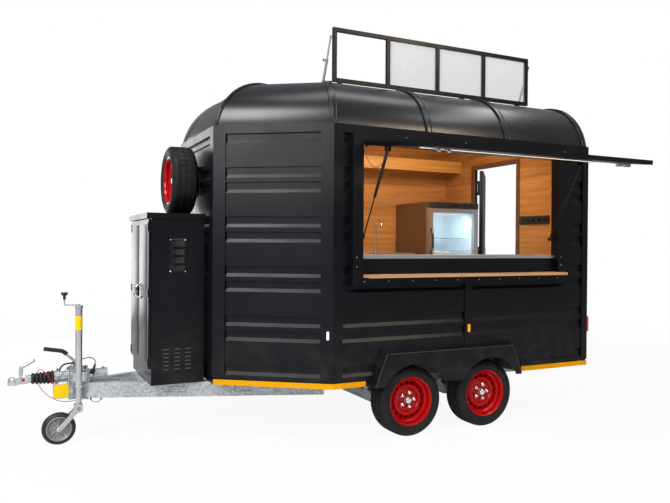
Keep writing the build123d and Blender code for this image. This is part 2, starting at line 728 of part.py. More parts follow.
def cabinet_door(side):
    """One leaf of the cabinet's front, closed, with its hinge knuckles."""
    h = CAB_HALF
    z = (CAB_PLINTH + 6, CAB_TOP - 6)
    y = sorted((side * 2.5, side * (h - 10)))
    leaf = box((CAB_X[0] - CAB_DOOR_T - 2, CAB_X[0] - 2), y, z)
    for mid in CAB_HINGE_Z:
        pivot = (CAB_PIVOT_X, side * h)
        leaf += rod((*pivot, mid - 20), (*pivot, mid + 20), 6)
        leaf += box((pivot[0] - 4, pivot[0] + 4), sorted((side * (h - 14), side * h)), (mid - 20, mid + 20))
        leaf -= rod((*pivot, mid - 21), (*pivot, mid + 21), 3 + PIN_PLAY)
    if side > 0:
        leaf += box((CAB_X[0] - CAB_DOOR_T - 12, CAB_X[0] - CAB_DOOR_T - 2), (18, 48), (1010, 1120))
    return leaf


# ---------------------------------------------------------------- chassis
def drawbar():
    """A-shaped drawbar of two beams that run on under the body, with cross members."""
    mid_z = sum(BEAM_Z) / 2
    high = BEAM_Z[1] - BEAM_Z[0]
    nose = (*BEAM_NOSE, mid_z)
    knee = (*BEAM_KNEE, mid_z)
    beam = bar(nose, knee, BEAM_W, high)
    y = (BEAM_KNEE[1] - BEAM_W / 2, BEAM_KNEE[1] + BEAM_W / 2)
    beam += box((BEAM_KNEE[0] - 20, BEAM_END), y, (RAIL_LOW, BEAM_Z[1]))
    for axle_x in AXLE_X:
        saddle = (axle_x - AXLE_ARM - AXLE_TUBE / 2, axle_x - AXLE_ARM + AXLE_TUBE / 2)
        beam += box(saddle, y, (BEAM_Z[0], RAIL_LOW))
    frame = both_sides(beam)
    for x, half in CROSS_MEMBERS:
        frame += box((x, x + 40), (-half, half), (RAIL_LOW, BEAM_Z[1]))
    for side in (-1, 1):
        y = sorted((side * 60, side * 68))
        frame += box(CHEEK_X, y, CHEEK_Z)
    frame += box(CHEEK_X, (-60, 60), (402, 417))
    return frame + nose_brackets()


def nose_brackets():
    """Plate for the notice beside the housing, and the holders that the three leads end in."""
    x0, x1 = CHEEK_X
    plate = box(NOTICE_X, (-92, -88), NOTICE_Z)
    spacer = box((x0, x0 + 30), (-88, -68), (NOTICE_Z[0] + 12, NOTICE_Z[1] - 12))
    lug = box((NOTICE_X[0] + 1, NOTICE_X[0] + 29), (-88, -68), (LEAD_LUG_Z - 12, LEAD_LUG_Z))
    clip = box((BREAKAWAY[0][0], BREAKAWAY[0][0] + 12), (-70, -58), (290, 306))
    tongue = box((x1 - 6, x1 + 14), (-68, -60), (450, 468))
    socket = rod(along_plug(-64), along_plug(-48), 19)
    return plate + spacer + lug + clip + tongue + socket


def axle(x):
    """Square axle tube under the beams, trailing arms, knuckles and stub axles for the hubs."""
    z = BEAM_Z[0] - AXLE_TUBE / 2
    tube_x = x - AXLE_ARM
    half = AXLE_TUBE / 2
    parts = box((tube_x - half, tube_x + half), (-740, 740), (BEAM_Z[0] - AXLE_TUBE, BEAM_Z[0]))
    for side in (-1, 1):
        y = sorted((side * 745, side * 785))
        y_near = sorted((side * 730, side * 785))
        parts += rod((tube_x, y_near[0], z), (tube_x, y_near[1], z), 46)
        arm = bar((tube_x, side * 765, z), (x, side * 765, TYRE_R), 38, 62)
        parts += arm + rod((x, y[0], TYRE_R), (x, y[1], TYRE_R), 44)
        parts += rod((x, side * 780, TYRE_R), (x, side * (WHEEL_Y + 10), TYRE_R), 19)
        parts += rod((x, side * 785, TYRE_R), (x, side * 800, TYRE_R), 112)
    return parts


def fender_hood(grow):
    """Solid between the fender's outline on the wall and the one on its face, grown by grow."""
    inner = Plane(origin=(0, -BODY_HALF, 0), x_dir=(1, 0, 0), z_dir=(0, -1, 0))
    near = Plane(origin=(0, -FENDER_Y, 0), x_dir=(1, 0, 0), z_dir=(0, -1, 0))
    faces = []
    for plane, outline in ((inner, FENDER_RIM), (near, FENDER_FACE)):
        points = []
        for x, z in outline:
            points.append((FENDER_X + x + (grow if x > 0 else -grow), z + (grow if z > 500 else -1)))
        faces.append(plane * make_face(Polyline(*points, close=True)))
    return loft(faces)


def fenders():
    """Folded steel fender over both wheels of each side."""
    outline = [(FENDER_X + x, 0, z) for x, z in FENDER_FACE]
    face = make_face(Polyline(*outline, close=True))
    plate = Pos(0, -FENDER_Y, 0) * extrude(face, amount=FENDER_T, dir=(0, 1, 0))
    for x in AXLE_X:
        plate -= rod((x - 10, -1200, TYRE_R + 5), (x - 10, -1000, TYRE_R + 5), ARCH_R)
    # sloping top and ends between the face and the wall
    skin = fender_hood(0.0) - fender_hood(-FENDER_T)
    skin &= box((FENDER_X - 800, FENDER_X + 800), (-FENDER_Y, -BODY_HALF), (410, 800))
    flange = box((FENDER_X - 590, FENDER_X + 590), (-BODY_HALF - 6, -BODY_HALF), (660, 684))
    return both_sides(plate + skin + flange)


# ---------------------------------------------------------------- wheels
def tyre_profile():
    """Half of the tyre's section as (radius, along) points, rounded at shoulder and sidewall."""
    half = TYRE_W / 2
    return [
        (RIM_R - 14.7, RIM_OUT - 16.2), (RIM_R - 8.8, RIM_OUT - 8.3), (RIM_R + 0.4, RIM_OUT - 5.4),
        (RIM_R + 2, RIM_OUT + 2), (RIM_R + 16, half - 3), (RIM_R + 34, half), (TYRE_R - 26, half - 6),
        (TYRE_R - 9, half - 17), (TYRE_R - 2, half - 30), (TYRE_R, half - 52),
    ]


def tyre(origin, axis):
    """Tyre centred at origin, turned about axis."""
    side = tyre_profile()
    outline = side + [(r, -s) for r, s in reversed(side)]
    return turned(outline, origin, axis)


def rim(origin, axis):
    """Steel wheel with its hub: drop-centre rim, dished disc with vent holes, drum, grease cap and bolts."""
    f = RIM_OUT
    r = RIM_R
    outline = [
        (r, f), (r, f - 5), (r - 9, f - 8), (r - 15, f - 16), (r - 18, f - 38), (r - 32, f - 50),
        (r - 32, -f + 60), (r - 18, -f + 38), (r - 15, -f + 16), (r - 9, -f + 8), (r, -f + 5), (r, -f),
        (r - 6, -f - 1), (r - 14, -f + 6), (r - 20, -f + 18), (r - 23, -f + 40), (r - 37, -f + 62),
        # inner side of the disc, then the drum with its bore for the stub axle
        (r - 37, 8), (128, 12), (112, 26), (96, 28), (84, 10), (62, 10), (62, -14),
        (20, -14), (20, 12), (0, 12),
        # grease cap, hub seat and the disc's outer side
        (0, 40), (26, 39), (30, 34), (30, 18), (82, 18), (95, 35), (114, 33), (132, 18), (r - 37, 14),
        (r - 37, f - 52), (r - 23, f - 40), (r - 20, f - 18), (r - 14, f - 6), (r - 6, f + 1),
    ]
    solid = turned(outline, (0, 0, 0), (0, 0, 1))
    for k in range(RIM_HOLES):
        solid -= Rot(0, 0, 360 / RIM_HOLES * k) * Pos(RIM_HOLE_R, 0, 15) * Cylinder(RIM_VENT, 30)
    for k in range(RIM_BOLTS):
        solid += Rot(0, 0, 360 / RIM_BOLTS * k) * Pos(RIM_BOLT_R, 0, 21) * Cylinder(10, 16)
    return Plane(origin=origin, z_dir=axis) * solid


WHEELS = {
    "front_near": (AXLE_X[0], -1), "front_far": (AXLE_X[0], 1),
    "rear_near": (AXLE_X[1], -1), "rear_far": (AXLE_X[1], 1),
}


# ---------------------------------------------------------------- coupling, jockey wheel, spare
def overrun_housing():
    """Tube of the overrun device on the drawbar's nose."""
    x0, x1 = HOUSING_X
    tube = rod((x0, 0, DRAW_Z), (x1, 0, DRAW_Z), HOUSING_R)
    collar = rod((x0, 0, DRAW_Z), (x0 + 30, 0, DRAW_Z), 50)
    saddle = box((x0 + 100, x1 - 120), (-30, 30), (417, DRAW_Z))
    return tube + collar + saddle - rod((x0 - 1, 0, DRAW_Z), (x0 + 200, 0, DRAW_Z), 26)


def bellows():
    """Rubber bellows between the coupling head and the housing."""
    x0, x1 = BELLOWS_X
    folds = 6
    pitch = (x1 - x0) / folds
    outline = [(26, x0)]
    for k in range(folds):
        s = x0 + pitch * k
        big = 40 + 8 * k / (folds - 1)
        outline += [(big - 10, s), (big, s + pitch * 0.3)]
        outline += [(big, s + pitch * 0.7), (big - 10, s + pitch * 0.98)]
    outline += [(26, x1)]
    return turned([(r, s) for r, s in outline], (0, 0, DRAW_Z), (1, 0, 0))


def coupling_head():
    """Ball coupling head with its bent release handle and draw shaft."""
    crown = [(0, 0), (36, 0), (36, 23), (33, 39), (26, 52), (14, 60), (0, 62)]
    head = turned(crown, (BALL_X, 0, HEAD_Z), (0, 0, 1))
    head += box((BALL_X, -1925), (-30, 30), (HEAD_Z + 5, HEAD_Z + 56))
    head += rod((-1930, 0, DRAW_Z), (-1570, 0, DRAW_Z), 25)
    head += rod((-1945, 0, DRAW_Z), (BELLOWS_X[0], 0, DRAW_Z), 30)
    head -= Pos(BALL_X, 0, BALL_Z) * Sphere(BALL_R)
    head -= rod((BALL_X, 0, HEAD_Z - 5), (BALL_X, 0, BALL_Z), BALL_R)
    foot, bend, tip = (-1972, 0, 470), (-1968, 0, 545), (-1888, 0, 590)
    handle = rod(foot, bend, GRIP_R) + rod(bend, tip, GRIP_R) + Pos(*bend) * Sphere(GRIP_R)
    return head + handle


def handbrake():
    """Handbrake lever with its long grip, pivoted beside the housing."""
    y = 52.0
    lever = bar((-1600, y, 470), (-1612, y, 566), 10, 26) + bar((-1606, y, 556), (-1690, y, 632), 10, 20)
    lever += rod((-1672, y, 622), (-1700, y, 640), 12) + rod((-1697, y, 638), (-1812, y, 660), 13)
    return lever + rod((-1600, 48, 470), (-1600, 59.5, 470), 18)


def jockey_tube():
    """Clamped outer tube of the jockey wheel with its cap, crank and knob."""
    x, y = JOCKEY
    tube = rod((x, y, 398), (x, y, 974), JOCKEY_R) - rod((x, y, 397), (x, y, 700), 20.6)
    tube += rod((x, y, 966), (x, y, 985), 28)
    tube += rod((x, y, 398), (x, y, 412), 30) - rod((x, y, 397), (x, y, 430), 20.6)
    end = x - CRANK_ARM
    arm = rod((x, y, 984), (x, y, 996), 10) + rod((x, y, 988), (end, y, 992), CRANK_R)
    arm += Pos(end, y, 992) * Sphere(CRANK_R)
    knob = rod((end, y, 992), (end, y, 1034), CRANK_R) + rod((end, y, 1034), (end, y, 1080), 8)
    clamp = box((x - 40, x + 40), (y + JOCKEY_R - 4, -68), (440, 500))
    clamp += box((x - 40, x + 40), (y - 10, y + JOCKEY_R), (440, 500)) - rod((x, y, 430), (x, y, 510), 23)
    return tube + arm + knob + clamp


def jockey_fork():
    """Swivelling stem with the offset fork that carries the jockey wheel."""
    x, y = JOCKEY
    ax, az = JOCKEY_AXLE
    stem = rod((x, y, 270), (x, y, 560), 20)
    crown = box((x - 30, x + 26), (y - 44, y + 44), (240, 274))
    fork = stem + crown
    for side in (-1, 1):
        leg_y = y + side * 41
        fork += bar((x - 2, leg_y, FORK_TOP), (ax, leg_y, az), 6, 34)
        fork += rod((x - 2, leg_y - 3, FORK_TOP), (x - 2, leg_y + 3, FORK_TOP), FORK_HEAD)
        fork += rod((ax, leg_y - 3, az), (ax, leg_y + 3, az), 18)
    return fork + rod((ax, y - 46, az), (ax, y + 46, az), 6)


def jockey_wheel():
    """Small solid-tyred wheel with a dished metal centre."""
    ax, az = JOCKEY_AXLE
    r, w = JOCKEY_WHEEL_R, JOCKEY_WHEEL_W / 2
    outline = [
        (6.1, -w - 4), (16, -w - 4), (18, -8), (60, -10), (74, -w + 6), (80, -w + 2), (96, -w),
        (108, -w + 8), (r, -8), (r, 8), (108, w - 8), (96, w), (80, w - 2), (74, w - 6), (60, 10),
        (18, 8), (16, w + 4), (6.1, w + 4),
    ]
    return turned(outline, (ax, JOCKEY[1], az), (0, 1, 0))


def along_plug(distance):
    """Point on the trailer plug's axis, measured up from where the lead leaves it."""
    lean = radians(PLUG_LEAN)
    x, y, z = PLUG_TOP
    return x + sin(lean) * distance, y, z + cos(lean) * distance


def trailer_plug():
    """Plug parked in its holder: cap, waist and collar for the lead."""
    plug = rod(along_plug(-48), along_plug(-26), 16) + rod(along_plug(-26), along_plug(-12), 13)
    return plug + rod(along_plug(-12), along_plug(0), 8)


def strip_light_lead():
    """Lead of the light strip under the flap, from clip to clip on the flap's underside."""
    y, z = FLAP_PIVOT
    lead = cord("strip_light_lead", [(STRIP_LEAD_X, y + u, z + v) for u, v in STRIP_LEAD], STRIP_LEAD_D)
    return hinge_open(lead)


def spare_carrier():
    """Bracket on the front wall with the studs that hold the spare wheel."""
    plate = box((NOSE_X - 12, NOSE_X), (-90, 90), (SPARE_Z - 110, SPARE_Z + 110))
    tube = rod((NOSE_X - 12, 0, SPARE_Z), (SPARE_X + 14, 0, SPARE_Z), 36)
    spigot = rod((SPARE_X + 14, 0, SPARE_Z), (SPARE_X - 10, 0, SPARE_Z), 19)
    return plate + tube + spigot


# ---------------------------------------------------------------- lamps
def tail_lamps():
    """Round-cornered lamps at the rear corners, standing out behind."""
    lamp = box((BODY_REAR + TRIM_T, BODY_REAR + TRIM_T + TAIL_T), TAIL_Y, TAIL_Z)
    return both_sides(lamp)


def marker_lamps():
    """Side markers on the middle posts and front markers on the slanted panels."""
    w, h, t = MARKER_W, MARKER_H, MARKER_T
    x, z = MID_POST, MARKER_Z
    base_y = -BODY_HALF - TRIM_T
    side = box((x - w / 2, x + w / 2), (base_y - t, base_y), (z - h / 2, z + h / 2))
    plane = face_plane("angled_near")
    front = plane * (Pos(face_length("angled_near") - MARKER_IN, z, TRIM_T + t / 2) * Box(w, h, t))
    return both_sides(side) + both_sides(front)


# ---------------------------------------------------------------- inside
def back_bench():
    """Worktop and cupboard front along the far wall, with the sink cut out."""
    x0, x1 = BENCH_X
    y0, y1 = BENCH_FRONT, BODY_HALF - WALL_T
    low, high = FLOOR_Z + FLOOR_T, COUNTER_Z - BENCH_TOP
    front_y = (y0 + 20, y0 + 20 + BOARD_T)
    bench = box((x0, x1), (y0, y1), (high, COUNTER_Z))
    bench += box((x0, x1), front_y, (low, high))
    bench += box((x0, x0 + BOARD_T), (front_y[1], y1 - 260), (low, high))
    bench += box((x1 - BOARD_T, x1), (front_y[1], y1), (620, high))
    bench &= prism(INNER, FLOOR_Z, EAVE_Z)
    return bench - sink_outer()


def sink_outer():
    """Outside of the sink basin below the worktop's surface."""
    x = (SINK_X[0] - SINK_T, SINK_X[1] + SINK_T)
    y = (SINK_Y[0] - SINK_T, SINK_Y[1] + SINK_T)
    return box(x, y, (COUNTER_Z - SINK_DEEP - SINK_T, COUNTER_Z))


def sink_basin():
    """Steel basin let into the worktop, with its rim."""
    x = (SINK_X[0] - SINK_RIM, SINK_X[1] + SINK_RIM)
    y = (SINK_Y[0] - SINK_RIM, SINK_Y[1] + SINK_RIM)
    basin = sink_outer() + box(x, y, (COUNTER_Z, COUNTER_Z + 2))
    return basin - box(SINK_X, SINK_Y, (COUNTER_Z - SINK_DEEP, COUNTER_Z + 3))


def sink_tap():
    """Swan-neck tap beside the basin."""
    x, y = TAP_PLACE
    reach = TAP_REACH
    foot, high = COUNTER_Z, COUNTER_Z + TAP_HIGH
    bend = ThreePointArc((x, y, high), (x, y - reach, high + reach), (x, y - 2 * reach, high))
    spout = Line((x, y - 2 * reach, high), (x, y - 2 * reach, high - 34))
    path = Line((x, y, foot + 2), (x, y, high)) + bend + spout
    neck = sweep(Plane(origin=(x, y, foot + 2), z_dir=(0, 0, 1)) * Circle(10), path=path)
    return neck + rod((x, y, foot), (x, y, foot + 24), 22)


def fridge_body():
    """Tall display fridge, open at the front behind its glass door."""
    z = (FLOOR_Z + FLOOR_T, FRIDGE_TOP)
    body = box(FRIDGE_X, FRIDGE_Y, z)
    x0, x1 = FRIDGE_X
    body -= box((x0 + 45, x1 - 45), (FRIDGE_Y[0] - 1, FRIDGE_Y[1] - 60), (z[0] + 110, z[1] - 80))
    body += box(FRIDGE_X, (FRIDGE_DOOR_Y[0] + 2, FRIDGE_Y[0]), (z[1] - 48, z[1]))
    body += box(FRIDGE_X, (FRIDGE_DOOR_Y[0] + 2, FRIDGE_Y[0]), (z[0], z[0] + 22))
    for low, high in ((z[0] + 12, z[0] + 42), (z[1] - 68, z[1] - 40)):
        body += rod((*FRIDGE_PIVOT, low), (*FRIDGE_PIVOT, high), PIN_R)
    return body


def fridge_door():
    """Steel door frame of the fridge with its bar handle."""
    z = (FLOOR_Z + FLOOR_T + 30, FRIDGE_TOP - 56)
    x0, x1 = FRIDGE_X[0] + 4, FRIDGE_X[1] - 4
    frame = box((x0, x1), FRIDGE_DOOR_Y, z)
    frame -= box((x0 + 50, x1 - 50), (300, 420), (z[0] + 60, z[1] - 50))
    for low in (1230.0, 1575.0):
        frame += box((x0 + 18, x0 + 34), (FRIDGE_DOOR_Y[0] - 30, FRIDGE_DOOR_Y[0]), (low, low + 16))
    frame += rod((x0 + 26, FRIDGE_DOOR_Y[0] - 34, 1215), (x0 + 26, FRIDGE_DOOR_Y[0] - 34, 1606), 11)
    for end in z:
        frame -= rod((*FRIDGE_PIVOT, end - 16), (*FRIDGE_PIVOT, end + 16), PIN_R + PIN_PLAY)
    return frame


def fridge_glass():
    """Pane in the fridge door."""
    z = (FLOOR_Z + FLOOR_T + 90, FRIDGE_TOP - 106)
    return box((FRIDGE_X[0] + 54, FRIDGE_X[1] - 54), (366, 378), z)


def overhead_box():
    """Boxed ledge along the far wall under the ceiling, with its lamps."""
    x0, x1 = 20.0, BODY_REAR - WALL_T
    body = box((x0, x1), (HOOD_Y, BODY_HALF - WALL_T), HOOD_Z)
    return body & (prism(INNER, FLOOR_Z, EAVE_Z) + roof_core(-ROOF_T))


# ---------------------------------------------------------------- nodes
def build():
    """All nodes by name."""
    nodes = {
        "drawbar": drawbar(),
        "front_axle": axle(AXLE_X[0]),
        "rear_axle": axle(AXLE_X[1]),
        "floor": floor(),
        "edge_stripe": edge_stripe(),
        "front_wall": swaged_wall("front"),
        "slanted_wall_near": swaged_wall("angled_near"),
        "slanted_wall_far": swaged_wall("angled_far"),
        "serving_wall": serving_wall(),
        "far_wall": far_wall(),
        "rear_wall": rear_wall() + door_hinges(),
        "body_frame": body_frame(),
        "roof": roof(),
        "window_frame": window_frame(),
        "serving_counter": serving_counter(),
        "shelf_board": shelf_board(),
        "hatch_flap": flap() + flap_pins(),
        "strut_barrels": strut_barrels(),
        "strut_rods": strut_rods(),
        "rear_door": rear_door(),
        "sign_frame": sign_frame(),
        "sign_feet": sign_feet(),
        "sign_prop_tubes": prop_tubes(),
        "sign_prop_rods": prop_rods(),
        "gas_cabinet": gas_cabinet(),
        "cabinet_door_near": cabinet_door(-1),
        "cabinet_door_far": cabinet_door(1),
        "fenders": fenders(),
        "overrun_housing": overrun_housing(),
        "bellows": bellows(),
        "coupling_head": coupling_head(),
        "handbrake_lever": handbrake(),
        "jockey_tube": jockey_tube(),
        "jockey_fork": jockey_fork(),
        "jockey_wheel": jockey_wheel(),
        "spare_carrier": spare_carrier(),
        "breakaway_cable": cord("breakaway_cable", BREAKAWAY, BREAKAWAY_D),
        "plug_lead": cord("plug_lead", PLUG_LEAD, PLUG_LEAD_D),
        "trailer_plug": trailer_plug(),
        "brake_lead": cord("brake_lead", BRAKE_LEAD, BRAKE_LEAD_D),
        "strip_light_lead": strip_light_lead(),
        "tail_lamps": tail_lamps(),
        "marker_lamps": marker_lamps(),
        "back_bench": back_bench(),
        "fridge_body": fridge_body(),
        "fridge_door": fridge_door(),
        "fridge_glass": fridge_glass(),
        "overhead_box": overhead_box(),
        "sink_basin": sink_basin(),
        "sink_tap": sink_tap(),
    }
    for name, (x, side) in WHEELS.items():
        nodes["tyre_" + name] = tyre((x, side * WHEEL_Y, TYRE_R), (0, side, 0))
        nodes["rim_" + name] = rim((x, side * WHEEL_Y, TYRE_R), (0, side, 0))
    spare = (SPARE_X, 0, SPARE_Z)
    nodes["spare_tyre"] = tyre(spare, (-1, 0, 0))
    nodes["spare_rim"] = rim(spare, (-1, 0, 0))
    return nodes


def joined(shape):
    """One shape to export, also where a cut left several solids."""
    return Compound(list(shape)) if isinstance(shape, list) else shape


def main():
    nodes = {name: joined(solid) for name, solid in build().items()}
    lows, highs = [], []
    for solid in nodes.values():
        size = solid.bounding_box()
        lows.append(size.min)
        highs.append(size.max)
    middle_x = (min(p.X for p in lows) + max(p.X for p in highs)) / 2
    middle_y = (min(p.Y for p in lows) + max(p.Y for p in highs)) / 2
    shift = (-round(middle_x), -round(middle_y))
    for name, solid in nodes.items():
        export_step(Pos(shift[0], shift[1], 0) * solid, "parts/" + name + ".step")
    print("moved by", shift)


if __name__ == "__main__":
    main()
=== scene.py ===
# %% [markdown]
# # A food trailer
# The trailer is a long box on two axles: swaged black walls, a rounded roof, a hatch over a serving window,
# and a galvanised A-frame in front with the coupling, the jockey wheel and a gas cabinet. The hard parts come
# in as a fixed frame with its joints. This lesson gives each of them its finish, then models the small
# fittings that make it look used: rivets, hinges, lamps, tyre tread, the kitchen inside and the leads at the
# hitch.

# %% Load the frame
import bpy
from math import asin, atan2, cos, hypot, pi, radians, sin
from mathutils import Matrix, Vector


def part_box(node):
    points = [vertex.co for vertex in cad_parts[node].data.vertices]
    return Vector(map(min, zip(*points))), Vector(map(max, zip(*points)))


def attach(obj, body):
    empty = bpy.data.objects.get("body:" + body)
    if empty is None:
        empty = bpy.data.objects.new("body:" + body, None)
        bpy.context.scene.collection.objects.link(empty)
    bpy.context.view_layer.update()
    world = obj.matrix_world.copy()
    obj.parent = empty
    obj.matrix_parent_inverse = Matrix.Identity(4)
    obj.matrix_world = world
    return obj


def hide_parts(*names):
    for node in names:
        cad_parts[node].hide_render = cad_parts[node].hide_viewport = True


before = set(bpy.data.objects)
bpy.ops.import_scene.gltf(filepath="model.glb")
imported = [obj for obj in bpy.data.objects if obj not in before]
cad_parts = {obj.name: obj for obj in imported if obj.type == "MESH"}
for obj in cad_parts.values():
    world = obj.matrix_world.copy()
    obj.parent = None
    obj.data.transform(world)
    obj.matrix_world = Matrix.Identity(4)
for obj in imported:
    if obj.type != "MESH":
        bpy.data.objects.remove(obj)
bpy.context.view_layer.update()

# %% [markdown]
# ## Where the fittings go
# Every place is taken from the frame's own pieces, so a fitting still sits right if the frame changes. The
# walls were drawn from the corner between the serving side and the slanted panel; that corner is found again
# here from the window frame's outline, and `at` turns a place measured from it into a place in the scene.

# %% Places
WINDOW_FRAME_LEFT = 0.129      # from the corner to the window frame's edge
HALF_WIDTH, HALF_WALL = 1.025, 0.02
far_wall_low, far_wall_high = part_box("far_wall")
corner_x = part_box("window_frame")[0].x - WINDOW_FRAME_LEFT
middle_y = (far_wall_low.y + far_wall_high.y) / 2 - HALF_WIDTH + HALF_WALL


def at(x, y, z):
    """A place measured from the body's front corner, its middle line and the ground."""
    return Vector((corner_x + x, middle_y + y, z))


SIDES = (("near", -1), ("far", 1))
WHEEL_NAMES = ("front_near", "front_far", "rear_near", "rear_far")
print("corner at", round(corner_x, 4), "middle line at", round(middle_y, 4))

# %% [markdown]
# ## Camera
# The viewer stands off the front left corner at eye height and looks a little to the right, so the slanted
# panel and the serving side both show. The lens is a normal 35 mm one. A camera looks along its own -Z, so it
# is turned about Z to its heading, tipped up from straight down, and last rolled about its own axis.

# %% Camera
EYE = at(-2.0176, -5.2058, 1.4307)
HEADING, PITCH, ROLL = radians(25.912), radians(0.537), radians(0.387)

camera_data = bpy.data.cameras.new("camera")
camera_data.lens = 35.543
camera_data.sensor_width = 36.0
camera = bpy.data.objects.new("camera", camera_data)
bpy.context.scene.collection.objects.link(camera)
turn = Matrix.Rotation(-HEADING, 4, "Z") @ Matrix.Rotation(pi / 2 - PITCH, 4, "X") @ Matrix.Rotation(ROLL, 4, "Z")
camera.matrix_world = Matrix.Translation(EYE) @ turn
bpy.context.scene.camera = camera
bpy.context.scene.view_settings.view_transform = "Standard"
print("camera at", [round(v, 3) for v in EYE])

# %% [markdown]
# ## Writing materials as sums
# A material in Blender is a graph of nodes. Long graphs are hard to read in code, so one small class wraps a
# socket and gives it `+`, `-`, `*` and the rest: an expression then adds its own Math nodes. A second class
# holds one material and makes any other node from its type, its settings and what goes into its sockets.

# %% Shader helpers
class Value:
    """A socket that can be added, multiplied and compared."""

    def __init__(self, shader, socket):
        self.shader, self.socket = shader, socket

    def math(self, operation, *others, first=None):
        ins = [first, self] if first is not None else [self, *others]
        return self.shader.node("ShaderNodeMath", {"operation": operation}, dict(enumerate(ins)))

    def __add__(self, other):
        return self.math("ADD", other)

    def __sub__(self, other):
        return self.math("SUBTRACT", other)

    def __rsub__(self, other):
        return self.math("SUBTRACT", first=other)

    def __mul__(self, other):
        return self.math("MULTIPLY", other)

    def __truediv__(self, other):
        return self.math("DIVIDE", other)

    def __lt__(self, other):
        return self.math("LESS_THAN", other)

    def __gt__(self, other):
        return self.math("GREATER_THAN", other)

    __radd__ = __add__
    __rmul__ = __mul__


class Shader:
    """One material, or the world, and the nodes in it."""

    def __init__(self, name, owner=None):
        self.material = owner or bpy.data.materials.new(name)
        self.material.use_nodes = True
        self.tree = self.material.node_tree
        self._coords = None

    def fill(self, node, inputs):
        for key, value in inputs.items():
            socket = node.inputs[key]
            if isinstance(value, Value):
                self.tree.links.new(value.socket, socket)
            elif socket.type == "RGBA" and len(value) == 3:
                socket.default_value = (*value, 1.0)
            else:
                socket.default_value = value

    def node(self, kind, settings=None, inputs=None, output=0):
        node = self.tree.nodes.new(kind)
        for key, value in (settings or {}).items():
            setattr(node, key, value)
        self.fill(node, inputs or {})
        return Value(self, node.outputs[output])

    def place(self):
        """The place on the piece, in metres."""
        self._coords = self._coords or self.node("ShaderNodeTexCoord", output="Object")
        return self._coords

    def coords(self, scale=(1, 1, 1)):
        """The place scaled for a pattern."""
        return self.node("ShaderNodeMapping", {}, {"Vector": self.place(), "Scale": scale})

    def axis(self, name):
        """One coordinate of the place: X, Y or Z."""
        return self.node("ShaderNodeSeparateXYZ", {}, {0: self.place()}, output=name)

    def noise(self, scale, detail=3.0, stretch=(1, 1, 1), rough=0.5):
        inputs = {"Vector": self.coords(stretch), "Scale": scale, "Detail": detail, "Roughness": rough}
        return self.node("ShaderNodeTexNoise", {}, inputs)

    def grey(self, colour):
        return self.node("ShaderNodeSeparateColor", {}, {0: colour})

    def cells(self, scale):
        """One random shade for each cell of a Voronoi pattern."""
        inputs = {"Vector": self.coords(), "Scale": scale}
        return self.grey(self.node("ShaderNodeTexVoronoi", {}, inputs, output="Color"))

    def wave(self, direction, scale):
        inputs = {"Vector": self.coords(), "Scale": scale}
        return self.grey(self.node("ShaderNodeTexWave", {"bands_direction": direction}, inputs))

    def span(self, value, low_in, high_in, low_out=0.0, high_out=1.0):
        inputs = {0: value, 1: low_in, 2: high_in, 3: low_out, 4: high_out}
        return self.node("ShaderNodeMapRange", {"clamp": True}, inputs)

    def mix(self, factor, first, second):
        return self.node("ShaderNodeMix", {"data_type": "RGBA"}, {0: factor, 6: first, 7: second}, output=2)

    def bump(self, height, strength=0.2, distance=0.001):
        inputs = {"Height": height, "Strength": strength, "Distance": distance}
        return self.node("ShaderNodeBump", {}, inputs)

    def finish(self, **inputs):
        """Sets the main surface's sockets; underscores stand for spaces."""
        surface = self.tree.nodes["Principled BSDF"]
        self.fill(surface, {key.replace("_", " "): value for key, value in inputs.items()})
        return self.material


def tinted(colour, factor):
    return [c * factor for c in colour]


print("shader helpers ready")

# %% [markdown]
# ## Paint
# The body is powder-coated sheet and smooth composite panels in anthracite black. Paint is never one flat
# value: it has an orange-peel ripple a few millimetres wide, faint cloudiness where it was wiped, and dust
# that dulls it near the ground. Noise at those three scales drives roughness, colour and bump.

# %% Paint materials
def coat_of(s, colour, roughness, dusty=True):
    """Colour and roughness of paint with cloudy wipe marks and a little road dust low down."""
    clouds = s.noise(2.6, 4.0)
    shade = s.mix(s.span(clouds, 0.35, 0.7), tinted(colour, 0.88), tinted(colour, 1.12))
    if dusty:
        dust = s.span(s.axis("Z"), 0.95, 0.3) * s.span(s.noise(9.0, 5.0), 0.42, 0.75) * 0.10
        shade = s.mix(dust, shade, (0.20, 0.18, 0.155))
    return shade, s.span(clouds, 0.3, 0.75, roughness - 0.04, roughness + 0.06)


def paint(name, colour, roughness, ripple=0.12, coat=0.0, dusty=True, sheen=0.2):
    """Coated metal with the fine ripple of sprayed paint."""
    s = Shader(name)
    shade, rough = coat_of(s, colour, roughness, dusty)
    return s.finish(Base_Color=shade, Roughness=rough, Metallic=0.0, Coat_Weight=coat, Coat_Roughness=0.08,
                    Specular_IOR_Level=sheen, Normal=s.bump(s.noise(420.0, 2.0), ripple, 0.0006))


BLACK = (0.0042, 0.0047, 0.0072)
body_paint = paint("body_paint", BLACK, 0.34)
trim_paint = paint("trim_paint", (0.0040, 0.0045, 0.0068), 0.33)
roof_paint = paint("roof_paint", (0.0080, 0.0083, 0.0095), 0.28, coat=0.3)
black_enamel = paint("black_enamel", (0.0065, 0.0065, 0.007), 0.34, dusty=False)
red_enamel = paint("red_enamel", (0.44, 0.001, 0.003), 0.22, ripple=0.05, coat=0.1, dusty=False)
stripe_paint = paint("stripe_paint", (0.80, 0.345, 0.0), 0.42, dusty=False, sheen=0.1)
label_yellow = paint("label_yellow", (0.90, 0.60, 0.0), 0.4, dusty=False)
# Painted highlight: a grey far lighter than the black paint, for the lit edge of the fender beads.
painted_highlight_edge = paint("painted_highlight_edge", (0.045, 0.046, 0.050), 0.36, dusty=False)
# Painted highlight: a light grey for the cabinet's pressed slots, whose hoods catch the light.
painted_highlight_slots = paint("painted_highlight_slots", (0.085, 0.086, 0.092), 0.36, dusty=False)
print("paints made")

